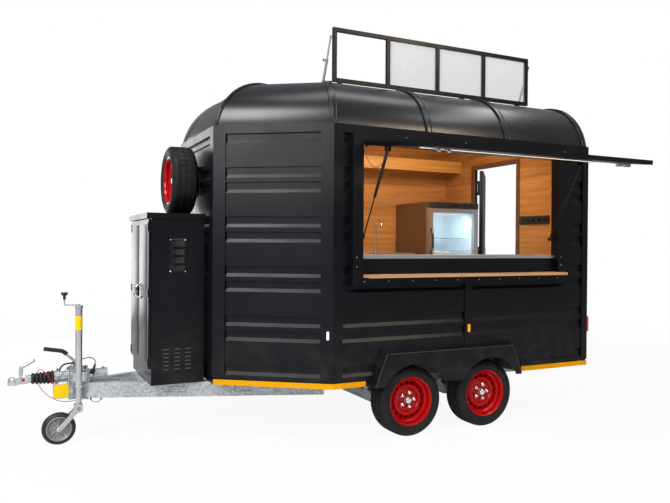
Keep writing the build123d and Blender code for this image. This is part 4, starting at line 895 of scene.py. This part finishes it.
# %% Cheek plates and notice
yellow_sheet = [(-1.7585, 0.3225), (-1.6585, 0.3225), (-1.6585, 0.4195), (-1.7585, 0.4195)]
plate("notice_sheet", [(x, -0.0922, z) for x, z in yellow_sheet], (0, -0.0012, 0), label_yellow, 0.0004)
repeated(lathe("notice_rivets", dome(0.0035, 0.0022), (-1.7545, -0.0934, 0.3265), NEARWARD, zinc, 12),
         [(0.092, 0, 0), (0, 0, 0.089), (0.092, 0, 0.089)])
bolts("cheek_bolts", 0.0085, 0.011, (-1.640, -0.0705, 0.330), NEARWARD,
      [(0.104, 0, 0), (0, 0, 0.160), (0.104, 0, 0.160)])
for edge, x in (("front", -1.6585), ("rear", -1.5205)):
    block("cheek_flange_" + edge, (x - 0.003, x + 0.003), (-0.088, -0.069), (0.306, 0.515), zinc)
plug_lean = Vector((sin(radians(20)), 0, cos(radians(20))))
plug_mouth = at(-1.484, -0.062, 0.520)
repeated(lathe("plug_ribs", [(0.0165, 0), (0.0205, 0.001), (0.0205, 0.004), (0.0165, 0.005)],
               plug_mouth - plug_lean * 0.020, plug_lean, black_plastic, 28),
         [plug_lean * -0.009, plug_lean * -0.018])
lathe("plug_boot", [(0.0062, 0), (0.0092, 0), (0.0084, 0.008), (0.0088, 0.010), (0.0070, 0.018),
                    (0.0072, 0.020), (0.0055, 0.030), (0.0036, 0.031)], plug_mouth - plug_lean * 0.002,
      plug_lean, black_rubber, 20)
print("cheek plates and notice made")

# %% [markdown]
# ## Jockey wheel
# The jockey wheel's outer tube carries a yellow band and a fluted knob on its crank. Its wheel has a grey
# cast centre with a ring of round pockets between hub and rim. The centre is spun, then the faces of the
# pockets are picked by their angle and pushed in.

# %% Jockey tube fittings
JOCKEY_X, JOCKEY_Y = -1.594, -0.121
lathe("jockey_band", [(0.0238, 0), (0.0247, 0.0005), (0.0247, 0.1005), (0.0238, 0.101)],
      (JOCKEY_X, JOCKEY_Y, 0.8085), UP, label_yellow, 40)
lathe("tube_cap", [(0, 0), (0.0265, 0), (0.0280, 0.004), (0.0280, 0.012), (0.020, 0.016), (0, 0.016)],
      (JOCKEY_X, JOCKEY_Y, 0.972), UP, zinc, 32)
lathe("stem_collar", [(0.0205, 0), (0.0285, 0), (0.0305, 0.004), (0.0305, 0.012), (0.0255, 0.016),
                      (0.0235, 0.016)], (JOCKEY_X, JOCKEY_Y, 0.396), UP, zinc, 32)
spun([(0.0052, 0), (0.0085, 0), (0.0098, 0.003), (0.0098, 0.026), (0.0165, 0.031), (0.0225, 0.036),
      (0.0225, 0.049), (0.0190, 0.054), (0, 0.055)], 48)
pick_faces(lambda place, normal: hypot(place.x, place.y) > 0.0205 and 0.034 < place.z < 0.052
           and sector(place, 8, 0.34))
bpy.ops.transform.resize(value=(0.86, 0.86, 1.0), center_override=(0, 0, 0.042))
aimed("crank_knob", (-1.691, JOCKEY_Y, 1.0300), UP, black_plastic)
print("jockey tube fittings made")

# %% Jockey wheel centre
JOCKEY_HUB = at(-1.726, JOCKEY_Y, 0.114)
centre_outline = [(0.0065, 0.0262), (0.0150, 0.0262), (0.0180, 0.0235), (0.0195, 0.0150), (0.0260, 0.0135),
                  (0.0560, 0.0150), (0.0660, 0.0185), (0.0740, 0.0262), (0.0790, 0.0305), (0.0835, 0.0312),
                  (0.0865, 0.0290), (0.0830, 0.0265), (0.0700, 0.0180), (0.0600, 0.0112), (0.0200, 0.0095),
                  (0.0065, 0.0120)]
spun(centre_outline + centre_outline[:1], 64)
for pockets, inner, outer in ((8, 0.026, 0.0562), (16, 0.0562, 0.0662)):
    pick_faces(lambda place, normal: inner < hypot(place.x, place.y) < outer and normal.z > 0.5
               and sector(place, pockets, 0.76))
    bpy.ops.mesh.inset(thickness=0.0022, depth=-0.0028)
    bpy.ops.mesh.bevel(offset=0.0006, segments=1, affect="EDGES")
near_centre = aimed("jockey_centre_near", JOCKEY_HUB, NEARWARD, cast_metal, "jockey_roller", 50)
clear_selection()
activate(near_centre)
bpy.ops.object.duplicate()
bpy.ops.object.mode_set(mode="EDIT")
bpy.ops.mesh.select_all(action="SELECT")
bpy.ops.transform.mirror(constraint_axis=(False, True, False), center_override=JOCKEY_HUB)
bpy.ops.mesh.normals_make_consistent(inside=False)
settle("jockey_centre_far", cast_metal, "jockey_roller", 50)
bolts("fork_bolt", 0.0090, 0.009, (-1.598, -0.1655, 0.250), NEARWARD, material=worn_steel, body="jockey_caster")
lathe("fork_axle_cap", [(0, 0), (0.012, 0), (0.013, 0.003), (0.009, 0.006), (0.0055, 0.006), (0.0055, 0.003),
                        (0, 0.003)], (-1.726, -0.166, 0.114), NEARWARD, zinc, body="jockey_caster")
print("jockey wheel centre made")

# %% [markdown]
# ## Handbrake and beams
# The handbrake lever ends in a long black rubber grip with a slightly thicker end. Each drawbar beam has two
# slots with rounded ends in its outer side, drawn here as a thin raised edge round a recess, with a black line of
# painted shade round it, and a brake rod runs back between the beams.

# %% Handbrake grip and beam slots
SLOT_END, SLOT_REACH = 0.021, 0.0445       # radius of a slot's ends, and how far they lie from its middle
bent_bar("brake_grip", [(-1.662, 0.052, 0.6135), (-1.680, 0.052, 0.628), (-1.697, 0.052, 0.639),
                        (-1.740, 0.052, 0.6465), (-1.8145, 0.052, 0.6605)], 0.0152, black_rubber, around=6)
lathe("brake_grip_end", dome(0.0160, 0.008), (-1.8135, 0.052, 0.6603), (-0.982, 0, 0.188), black_rubber)
for slot_name, side, slot_x in [(side_name + spot, side, x) for side_name, side in SIDES
                                for spot, x in (("_front", -0.918), ("_rear", -0.470))]:
    run = Vector((1.7, side * 0.637, 0)).normalized()
    outward = Vector((-0.351, side * 0.936, 0))
    middle = at(slot_x, side * (0.030 + (1.6 + slot_x) * 0.3747), 0.361) + outward * 0.0296
    ring = []
    for angle in [2 * pi * k / 24 for k in range(24)]:
        shift = SLOT_REACH if cos(angle) > 0 else -SLOT_REACH
        ring.append(middle + run * (shift + SLOT_END * cos(angle)) + Vector((0, 0, SLOT_END * sin(angle))))
    draw(ring + ring[:1])
    tidy_mesh()
    bpy.ops.mesh.select_all(action="SELECT")
    bpy.ops.mesh.edge_face_add()
    pull(outward * 0.0022)
    bpy.ops.mesh.inset(thickness=0.0030)
    pull(outward * -0.0018)
    bpy.ops.mesh.select_all(action="SELECT")
    bpy.ops.mesh.normals_make_consistent(inside=False)
    settle("beam_slot_" + slot_name, galvanised)
    # Painted shade: a black line round each slot, where its edge falls into shadow.
    bent_bar("beam_slot_line_" + slot_name, [place + outward * 0.0016 for place in ring + ring[:1]], 0.0014,
             black_rubber, order=2)
bent_bar("brake_rod", [(-1.39, 0, 0.425), (-1.2, 0, 0.400), (-0.6, 0, 0.385), (0.30, 0, 0.330), (0.58, 0, 0.300)],
         0.005, zinc)
print("handbrake and beam details made")

# %% [markdown]
# ## Gas cabinet
# The cabinet is folded sheet steel. On each side a plastic louvre with four hooded slats is held by four
# bright screws, and below it are three columns of pressed slots. The front doors meet at the middle under a
# pull handle, with a lock, a round knob, and three black hinges along each outer edge.

# %% Louvre
CABINET_SIDE = 0.389
LOUVRE_X, LOUVRE_Z = (-1.0065, -0.8825), (1.2200, 1.4760)
SLATS = 4


def louvre(name, side):
    """Frame plate, four hooded slats and four screws on one side of the cabinet."""
    (x0, x1), (z0, z1) = LOUVRE_X, LOUVRE_Z

    def off(distance):
        return side * CABINET_SIDE + side * distance
    block(name + "_plate", LOUVRE_X, (off(-0.001), off(0.0035)), LOUVRE_Z, black_enamel, 0.0012)
    inner0, inner1 = x0 + 0.018, x1 - 0.018
    block(name + "_recess", (inner0 - 0.002, inner1 + 0.002), (off(0.003), off(0.0045)), (z0 + 0.006, z1 - 0.006),
          black_rubber, 0.0008)
    pitch = (z1 - z0 - 0.020) / SLATS
    low = z0 + 0.010
    outline = [(0.004, low), (0.023, low), (0.021, low + 0.010), (0.008, low + pitch - 0.006),
               (0.004, low + pitch - 0.003)]
    repeated(plate(name + "_slats", [(inner0, off(out), z) for out, z in outline], (inner1 - inner0, 0, 0),
                   black_enamel, 0.0022, 2, 40), [(0, 0, pitch * k) for k in range(1, SLATS)])
    across, upward = x1 - x0 - 0.017, z1 - z0 - 0.027
    repeated(lathe(name + "_screws", dome(0.0050, 0.0028), (x0 + 0.0085, off(0.0035), z0 + 0.0135), (0, side, 0),
                   chrome, 16), [(across, 0, 0), (0, 0, upward), (across, 0, upward)])


for side_name, side in SIDES:
    louvre("louvre_" + side_name, side)
print("louvres made")

# %% Pressed slots
def pressed_slots(name, side):
    """Eighteen short hooded slots pressed out of the sheet, leaning a little, with a painted highlight on their
    hoods.
    """
    x0, z0 = -1.0460, 0.5225
    outline = [(x0, z0 - 0.003), (x0 + 0.038, z0 - 0.001), (x0 + 0.041, z0 + 0.002), (x0 + 0.038, z0 + 0.0062),
               (x0 + 0.001, z0 + 0.0042), (x0 - 0.002, z0 + 0.001)]
    draw([at(x, side * CABINET_SIDE - side * 0.0005, z) for x, z in outline])
    bpy.ops.mesh.edge_face_add()
    pull((0, side * 0.0032, 0))
    bpy.ops.mesh.inset(thickness=0.0016, depth=0.0)
    bpy.ops.transform.translate(value=(0, side * 0.0014, 0.0006))
    bpy.ops.mesh.select_all(action="SELECT")
    bpy.ops.mesh.normals_make_consistent(inside=False)
    repeated(settle(name, painted_highlight_slots, smooth=40),
             [(0.0790 * column, 0, 0.0290 * row) for column in range(3) for row in range(6) if column or row])


for side_name, side in SIDES:
    pressed_slots("slots_" + side_name, side)
print("pressed slots made")

# %% Cabinet doors
HINGE_Z = (0.585, 1.078, 1.554)
DOOR_FACE, PULL_Y = -1.1535, -0.060
for side_name, side in SIDES:
    body = "gas_door_" + side_name
    leaf = block("cabinet_hinges_" + side_name, (DOOR_FACE - 0.0045, DOOR_FACE + 0.001),
                 (side * 0.346, side * 0.376), (HINGE_Z[0] - 0.030, HINGE_Z[0] + 0.030), black_plastic, 0.0018,
                 body=body)
    repeated(leaf, [(0, 0, z - HINGE_Z[0]) for z in HINGE_Z[1:]])
    block("cabinet_panel_" + side_name, (DOOR_FACE - 0.0018, DOOR_FACE + 0.001), (side * 0.030, side * 0.335),
          (0.575, 1.575), trim_paint, 0.0012, body=body)
lathe("door_knob", [(0, 0), (0.007, 0), (0.007, 0.010), (0.014, 0.014), (0.016, 0.019), (0.013, 0.024),
                    (0, 0.025)], (DOOR_FACE - 0.0015, 0.075, 1.082), FRONTWARD, black_plastic, 28,
      body="gas_door_far")
lathe("lock_barrel", [(0, 0), (0.013, 0), (0.013, 0.004), (0.009, 0.006), (0.009, 0.010), (0, 0.010)],
      (DOOR_FACE - 0.0015, 0.098, 1.048), FRONTWARD, black_plastic, 28, body="gas_door_far")
block("lock_key", (DOOR_FACE - 0.028, DOOR_FACE - 0.010), (0.0965, 0.0995), (1.030, 1.052), zinc, 0.0008,
      body="gas_door_far")
pull_path = [(0, 1.026), (0.030, 1.030), (0.036, 1.075), (0.030, 1.120), (0, 1.124)]
bent_bar("door_pull", [(DOOR_FACE - out, PULL_Y, z) for out, z in pull_path], 0.0085, chrome, around=6,
         body="gas_door_near")
block("door_pull_plate", (DOOR_FACE - 0.004, DOOR_FACE + 0.001), (-0.073, -0.047), (1.012, 1.138), chrome, 0.0018,
      body="gas_door_near")
print("cabinet doors fitted")

# %% [markdown]
# ## Road tyres
# A tyre is a turned part with cuts in it. Half its section is drawn: bead, sidewall with two raised rings,
# shoulder and tread with three grooves between four ribs. It is spun in small steps, then every third step of
# the shoulder is pushed in to leave notches between tread blocks. The tyre is modelled once, and five copies
# are turned to their axles; each stands for the plain tyre of the frame.

# %% Tyre section
TYRE_SIDE = [
    (0.1693, 0.0688), (0.1752, 0.0767), (0.1850, 0.0800), (0.1865, 0.0874), (0.1925, 0.0905), (0.1945, 0.0928),
    (0.1985, 0.0932), (0.2010, 0.0918), (0.2110, 0.0955), (0.2125, 0.0972), (0.2175, 0.0974), (0.2195, 0.0958),
    (0.2310, 0.0938), (0.2330, 0.0946), (0.2370, 0.0930), (0.2420, 0.0895), (0.2500, 0.0850), (0.2558, 0.0802),
    (0.2606, 0.0735), (0.2630, 0.0665), (0.2642, 0.0570), (0.2644, 0.0480), (0.2580, 0.0462), (0.2578, 0.0388),
    (0.2646, 0.0368), (0.2650, 0.0210), (0.2650, 0.0052), (0.2582, 0.0036)]
TYRE_STEPS = 216
outline = TYRE_SIDE + [(radius, -along) for radius, along in reversed(TYRE_SIDE)]
spun(outline + outline[:1], TYRE_STEPS)


def press_in(inner, outer, radius, sectors, part, depth):
    """Pushes in every few faces of a band of the tread, between two distances from its middle."""
    count = pick_faces(lambda place, normal: inner < abs(place.z) < outer and hypot(place.x, place.y) > radius
                       and sector(place, sectors, part))
    bpy.ops.mesh.extrude_region_shrink_fatten(TRANSFORM_OT_shrink_fatten={"value": -depth})
    return count


notches = press_in(0.0485, 0.0800, 0.2560, TYRE_STEPS // 3, 0.34, 0.0045)
cuts = press_in(0.0060, 0.0360, 0.2640, TYRE_STEPS // 6, 0.167, 0.0035)
object_mode()
tyre_pattern = bpy.context.object
print("tyre notches:", notches, "rib cuts:", cuts, "faces:", len(tyre_pattern.data.polygons))

# %% Wheels
AXLES = {"front": 0.665, "rear": 1.357}
WHEEL_SIDE, WHEEL_HEIGHT = 0.925, 0.265
wheel_places = {}
for wheel in WHEEL_NAMES:
    axle, side_name = wheel.split("_")
    side = dict(SIDES)[side_name]
    wheel_places[wheel] = (at(AXLES[axle], side * WHEEL_SIDE, WHEEL_HEIGHT), (0, side, 0), "wheel_" + wheel)
wheel_places["spare"] = (at(-0.854, 0, 1.926), FRONTWARD, "trailer")


def on_wheels(pattern, prefix, material, smooth=SMOOTH, wheels=wheel_places):
    """Copies a piece drawn at the origin to each wheel, then takes the pattern away."""
    made = {}
    for wheel in wheels:
        place, direction, body = wheel_places[wheel]
        clear_selection()
        copy = copy_of(pattern)
        activate(copy)
        made[wheel] = aimed(prefix + wheel, place, direction, material, body, smooth)
    bpy.data.objects.remove(pattern)
    return made


tyres = on_wheels(tyre_pattern, "treaded_tyre_", tyre_rubber, 30)
for wheel, tyre in tyres.items():
    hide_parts("spare_tyre" if wheel == "spare" else "tyre_" + wheel)
print("tyres made:", len(tyres))

# %% [markdown]
# ## Wheel bolts and caps
# Each red wheel has five bright bolts round a chrome grease cap, and a rubber valve. One of each is turned
# once, and the set is copied to each wheel.

# %% Bolts, caps and valves
bolt = lathe("wheel_bolt", [(0, 0), (0.0128, 0), (0.0132, 0.003), (0.0098, 0.0055), (0.0095, 0.0125),
                            (0.0072, 0.0150), (0, 0.0152)], Vector((0.056, 0, 0.0285)), UP, chrome, 12, 30)
bolt_set = repeated(bolt, [Matrix.Rotation(2 * pi * k / 5, 4, "Z") for k in range(1, 5)])
on_wheels(bolt_set, "bolts_", chrome)
cap = lathe("grease_cap", [(0, 0.030), (0.0295, 0.030), (0.0305, 0.034), (0.0270, 0.037), (0.0262, 0.048),
                           (0.0240, 0.0530), (0.0190, 0.0565), (0.0100, 0.0585), (0, 0.0590)], Vector(), UP,
            chrome, 40)
on_wheels(cap, "cap_", chrome)
valve = lathe("valve", [(0, 0), (0.0045, 0), (0.0040, 0.016), (0.0052, 0.018), (0.0052, 0.026), (0, 0.027)],
              Vector((0.140, 0.020, 0.012)), (0.35, 0, 1), black_rubber, 12)
on_wheels(valve, "valve_", black_rubber)
print("bolts, caps and valves made")

# %% [markdown]
# ## Brake drums and fender beads
# Behind each vented wheel disc sits a dark cast brake drum, which is why the vent holes look black. A thin bead
# runs round the outer edge of each fender and stiffens it; its lighter grey is a painted highlight along the lip.

# %% Drums and beads
drum = lathe("drum", [(0.0650, 0.0030), (0.1180, 0.0030), (0.1205, -0.0010), (0.1205, -0.0380), (0.1240, -0.0400),
                      (0.1580, -0.0460), (0.1580, -0.0480), (0.0650, -0.0480)], Vector(), UP, black_enamel, 48)
on_wheels(drum, "brake_drum_", black_enamel, wheels=WHEEL_NAMES)
bead_line = [(0.313, 0.411), (0.407, 0.6455), (0.4075, 0.6455), (1.5625, 0.6455), (1.563, 0.6455), (1.657, 0.411)]
for side_name, side in SIDES:
    # The bead's light grey is a painted highlight along the fender's edge.
    bent_bar("fender_bead_" + side_name, [(x, side * 1.0922, z) for x, z in bead_line], 0.0032, painted_highlight_edge,
             order=2)
print("brake drums and fender beads made")

# %% [markdown]
# ## Roof seams
# The roof sheets meet under raised ribs. Each rib is edged by two round beads rolled into the sheet, which
# catch the light as thin lines. A bead is a round bar bent over the roof's section: up the near arc, across
# the flat and down the far one. On the corners two sheets meet in a slanting seam, so there the beads climb
# along the line that keeps the same distance from both walls, and end on the flat.

# %% Roof seam beads
ARC_RADIUS, ARC_Z, EAVE_Z = 0.497, 2.198, 2.290
BEAD_RADIUS = 0.0055


def roof_section(steps=9):
    """Inset from the wall and height, up the rounded edge of the roof."""
    first = asin((EAVE_Z - ARC_Z) / ARC_RADIUS)
    angles = [first + (pi / 2 - first) * k / steps for k in range(steps + 1)]
    return [(ARC_RADIUS - ARC_RADIUS * cos(a), ARC_Z + ARC_RADIUS * sin(a)) for a in angles]


for rib, x in enumerate((0.785, 0.825, 1.535, 1.575, 2.375, 2.414)):
    near = [(x, -HALF_WIDTH + inset, z) for inset, z in roof_section()]
    far = [(x, HALF_WIDTH - inset, z) for inset, z in reversed(roof_section())]
    bent_bar(f"roof_bead_{rib}", near + far, BEAD_RADIUS, roof_paint)


def seam_beads(name, corner, inward, other, apart):
    """Two beads beside the seam between two walls, whose inward directions are given."""
    along = (inward + other) / (1 + inward.dot(other))
    across = Vector((along.y, -along.x, 0)).normalized()
    for k, aside in enumerate((-apart, apart)):
        lean = abs(inward.dot(across) * aside)
        line = roof_section() + [(0.555, ARC_Z + ARC_RADIUS)]
        places = [corner + along * (inset + lean) + across * aside + Vector((0, 0, z)) for inset, z in line]
        bent_bar(f"{name}_{k}", places, BEAD_RADIUS, roof_paint)


for side_name, side in SIDES:
    to_side, to_slant = Vector((0, -side, 0)), Vector((0.583, -0.8125 * side, 0))
    seam_beads("corner_bead_" + side_name, at(0, side * HALF_WIDTH, 0), to_side, to_slant, 0.022)
    seam_beads("nose_bead_" + side_name, at(NOSE_X, side * NOSE_HALF, 0), to_slant, Vector((1, 0, 0)), 0.0065)
print("roof seam beads made")

# %% [markdown]
# ## Window frame and shelf
# A row of bright rivets holds the sill under the shelf, and a few more the head and the jambs. The shelf
# board rests on small angle brackets.

# %% Rivets and brackets
FRAME_FACE = -1.0760
RIVET_X, SILL_Z, HEAD_RAIL_Z = 0.2248, 1.1745, 2.2205
shifts = [(0.2021 * k, 0, 0) for k in range(1, 10)]
shifts += [(x - RIVET_X, 0, HEAD_RAIL_Z - SILL_Z) for x in (0.565, 1.097, 2.113)]
shifts += [(x - RIVET_X, 0, z - SILL_Z) for x in (0.162, 2.080) for z in (1.28, 1.346)]
repeated(lathe("frame_rivets", dome(0.0042, 0.0024), (RIVET_X, FRAME_FACE, SILL_Z), NEARWARD, zinc, 12), shifts)
bracket_outline = [(FRAME_FACE, 1.2028), (-1.1500, 1.2028), (-1.1500, 1.1975), (-1.0830, 1.1940),
                   (-1.0800, 1.1580), (FRAME_FACE, 1.1580)]
repeated(plate("shelf_brackets", [(0.40, y, z) for y, z in bracket_outline], (0.020, 0, 0), black_enamel),
         [(0.47 * k, 0, 0) for k in (1, 2, 3)])
print("window rivets and shelf brackets made")

# %% [markdown]
# ## Lamps
# The marker lamps are small rounded lenses on the posts: amber at the side, clear at the front. One lens is
# bevelled at the origin and turned to each post. The tail lamps get three colours: amber, red and a clear
# reversing strip.

# %% Lamp lenses
MARKER_Z = 0.794
SLANT = atan2(-NOSE_X, HALF_WIDTH - NOSE_HALF)    # how far the slanted panel turns from the front
along_slant, out_of_slant = Vector((-sin(SLANT), cos(SLANT), 0)), Vector((-cos(SLANT), -sin(SLANT), 0))
front_place = at(0.0, -HALF_WIDTH, MARKER_Z) + along_slant * 0.032 + out_of_slant * 0.008
for spot, place, heading, finish in (("side", at(1.169, -1.033, MARKER_Z), 0.0, amber_lens),
                                     ("front", front_place, SLANT - pi / 2, clear_lens)):
    mirrored = Vector((place.x, 2 * middle_y - place.y, place.z))
    for side_name, spot_place, angle in (("near", place, heading), ("far", mirrored, pi - heading)):
        cover = block(spot + "_lens_" + side_name, (-0.0105, 0.0105), (-0.0140, 0.0010), (-0.0310, 0.0310),
                      finish, 0.0055, 3, where=lambda x, y, z: Vector((x, y, z)))
        turned(cover, Matrix.Translation(spot_place) @ Matrix.Rotation(angle, 4, "Z"))
for side_name, side in SIDES:
    for tint, z0, z1, finish in (("amber", 0.787, 0.828, amber_lens), ("red", 0.744, 0.785, red_lens),
                                 ("clear", 0.702, 0.742, clear_lens)):
        block(f"tail_{tint}_{side_name}", (2.452, 2.4705), (side * 0.905, side * 1.012), (z0, z1), finish,
              0.004, 3)
print("lamps made")

# %% [markdown]
# ## Kitchen inside
# Through the hatch one sees the wood-lined cabin: the doorway with its brown trim, a strip of black sockets on
# the rear wall, and the glass-door fridge, lit pale blue inside by its lamps and by a painted glow on its liner,
# with a black fascia and a curved black handle.

# %% Doorway trim and sockets
(y0, y1), (outer_y0, outer_y1) = (-0.190, 0.470), (-0.232, 0.512)
foot_z, top_z, outer_top_z = 0.468, 2.240, 2.282
trim_outline = [(outer_y0, foot_z), (y0, foot_z), (y0, top_z), (y1, top_z), (y1, foot_z), (outer_y1, foot_z),
                (outer_y1, outer_top_z), (outer_y0, outer_top_z)]
plate("doorway_trim", [(2.3805, y, z) for y, z in trim_outline], (-0.012, 0, 0), door_trim, 0.002)
block("socket_rail", (2.372, 2.381), (-0.632, -0.250), (1.640, 1.720), black_plastic, 0.003)
repeated(block("socket_frames", (2.362, 2.373), (-0.627, -0.553), (1.644, 1.716), black_plastic, 0.004, 3),
         [(0, 0.076 * k, 0) for k in range(1, 5)])
repeated(lathe("socket_wells", [(0, 0.0008), (0.0185, 0.0008), (0.0195, 0.0030), (0.0225, 0.0030), (0.0230, 0),
                                (0, 0)], (2.362, -0.590, 1.680), FRONTWARD, black_enamel, 32),
         [(0, 0.076 * k, 0) for k in range(1, 4)])
block("light_switch", (2.358, 2.364), (-0.309, -0.262), (1.662, 1.698), black_plastic, 0.002)
for side_name, y in (("near", (-0.1895, -0.1735)), ("far", (0.4535, 0.4695))):
    block("doorway_gasket_" + side_name, (2.3806, 2.3868), y, (0.480, 2.226), black_rubber, 0.002)
print("doorway and sockets made")

# %% Fridge
block("fridge_fascia", (1.728, 2.336), (0.3435, 0.4020), (1.812, 1.872), black_plastic, 0.004)
block("fridge_display", (2.010, 2.080), (0.3420, 0.3450), (1.832, 1.852), black_enamel, 0.001)
bent_bar("fridge_handle", [(1.752, 0.348, 1.600), (1.750, 0.318, 1.588), (1.750, 0.308, 1.480),
                           (1.750, 0.318, 1.372), (1.752, 0.348, 1.360)], 0.0105, black_plastic, around=6,
         body="fridge_front")
block("fridge_lamp", (1.800, 2.264), (0.420, 0.440), (1.752, 1.766), cold_strip, 0.002)
block("fridge_side_lamp", (1.768, 1.776), (0.422, 0.434), (0.70, 1.70), cold_strip, 0.002)
rod = block("fridge_shelves", (1.772, 2.292), (0.440, 0.446), (1.5080, 1.5140), chrome, 0.0012)
shelf = repeated(rod, [(0, 0.030 * k, 0) for k in range(1, 15)])
repeated(shelf, [(0, 0, -drop) for drop in (0.130, 0.330, 0.560)])
block("fridge_box", (1.796, 2.050), (0.445, 0.700), (1.345, 1.375), white_plastic, 0.006)
area_lamp("fridge_glow", (2.03, 0.46, 1.745), (2.03, 0.62, 1.2), 0.46, 0.06, 2.2, (0.66, 0.86, 1.0))
print("fridge fitted")

# %% [markdown]
# ## Hatch
# The open hatch is a sheet over a folded frame. A light strip runs along the far side of its underside, and
# two pairs of small toggle latches hang near its outer edge.

# %% Hatch fittings
UNDER = -0.0165                # underside of the flap, from its middle plane
droop = about(at(0, FLAP_HINGE_Y, FLAP_HINGE_Z), FLAP_DROOP, "X")


def flap_block(name, x, out, below, above, material, bevel=0.0015):
    """Block on the flap: drawn level, out from the hinge and up from the underside, then drooped."""
    z = (FLAP_HINGE_Z + (UNDER + below), FLAP_HINGE_Z + (UNDER + above))
    turned(block(name, x, [FLAP_HINGE_Y - y for y in out], z, material, bevel, body="hatch"), droop)


flap_block("hatch_light_strip", (0.245, 2.015), (0.678, 0.690), -0.0075, 0.001, warm_strip, 0.002)
flap_block("hatch_light_channel", (0.238, 2.022), (0.670, 0.698), -0.004, 0.001, zinc, 0.001)
for pair, x in (("left", 0.318), ("right", 1.905)):
    for k in range(2):
        start = x + 0.075 * k
        flap_block(f"latch_plate_{pair}_{k}", (start, start + 0.034), (0.700, 0.760), -0.006, 0.001, chrome)
        flap_block(f"latch_arm_{pair}_{k}", (start + 0.008, start + 0.026), (0.712, 0.772), -0.024, -0.004,
                   chrome, 0.004)
print("hatch fittings made")

# %% [markdown]
# ## Entry door
# The entry door at the back swings on its hinges. It gets a lever handle and a lock plate inside and out, and
# a pressed rim outside. Each is drawn on the closed leaf and swung to where the leaf stands open.

# %% Entry door fittings
DOOR_BODY, LOCK_Y, LOCK_Z = "entry_door", -0.128, 1.325
OUTSIDE, INSIDE = 2.426, 2.388
door_swing = about(at(2.437, 0.476, 0.0), radians(139.0))
rim = [(-0.145, 0.515), (0.425, 0.515), (0.425, 2.190), (-0.145, 2.190), (-0.145, 0.515)]
turned(bent_bar("door_rim", [(OUTSIDE, y, z) for y, z in rim], 0.0035, trim_paint, order=2, body=DOOR_BODY),
       door_swing)
for face_name, face, way, gap in (("outside", OUTSIDE, 1, 0.020), ("inside", INSIDE, -1, 0.002)):
    turned(block("door_plate_" + face_name, (face, face + way * 0.006), (-0.152, -0.103), (1.215, 1.425), zinc,
                 0.002, body=DOOR_BODY), door_swing)
    start = face + way * gap
    turned(lathe("door_rose_" + face_name, [(0, 0), (0.020, 0), (0.021, 0.004), (0.016, 0.008), (0.0105, 0.010),
                                            (0.0105, 0.022), (0, 0.022)], (start, LOCK_Y, LOCK_Z), (way, 0, 0),
                 black_plastic, 28, body=DOOR_BODY), door_swing)
    reach = start + way * 0.026
    lever = [(start + way * 0.010, LOCK_Y, LOCK_Z), (reach, LOCK_Y, LOCK_Z),
             (reach + way * 0.006, -0.090, LOCK_Z), (reach + way * 0.002, -0.010, 1.322)]
    turned(bent_bar("door_lever_" + face_name, lever, 0.0085, black_plastic, around=6, body=DOOR_BODY),
           door_swing)
print("entry door fitted")

# %% [markdown]
# ## Roof sign
# Three of the four cells of the roof sign are closed by frosted sheets, blank and slightly see-through; the
# first is open. Each prop has a clamp screw where its rod slides out of the tube.

# %% Sign sheets and prop clamps
SIGN_CELL, SIGN_PITCH = 0.455, 0.485
repeated(block("sign_sheets", (0.7468, 0.7472 + SIGN_CELL), (-0.5150, -0.5090), (2.7458, 3.1112), opal_sheet,
               0.0008, body="sign"), [(SIGN_PITCH * k, 0, 0) for k in (1, 2)])
for end, x, way in (("left", 0.214, -1), ("right", 2.220, 1)):
    lathe("prop_clamp_" + end, [(0, 0), (0.0060, 0), (0.0060, 0.008), (0.0130, 0.011), (0.0145, 0.016),
                                (0.0125, 0.022), (0, 0.023)], (x + way * 0.010, -0.4408, 2.8995), (way, 0, 0),
          chrome, body="sign_tubes")
print("prop clamps made")

# %% [markdown]
# ## Sink
# The basin has a strainer over its drain: a low dished disc with a rolled rim.

# %% Sink drain
lathe("sink_drain", [(0, 0), (0.026, 0), (0.028, 0.002), (0.022, 0.0035), (0.018, 0.0015), (0, 0.0015)],
      (1.150, 0.770, 1.2035), UP, chrome, 32)
print("sink drain made")
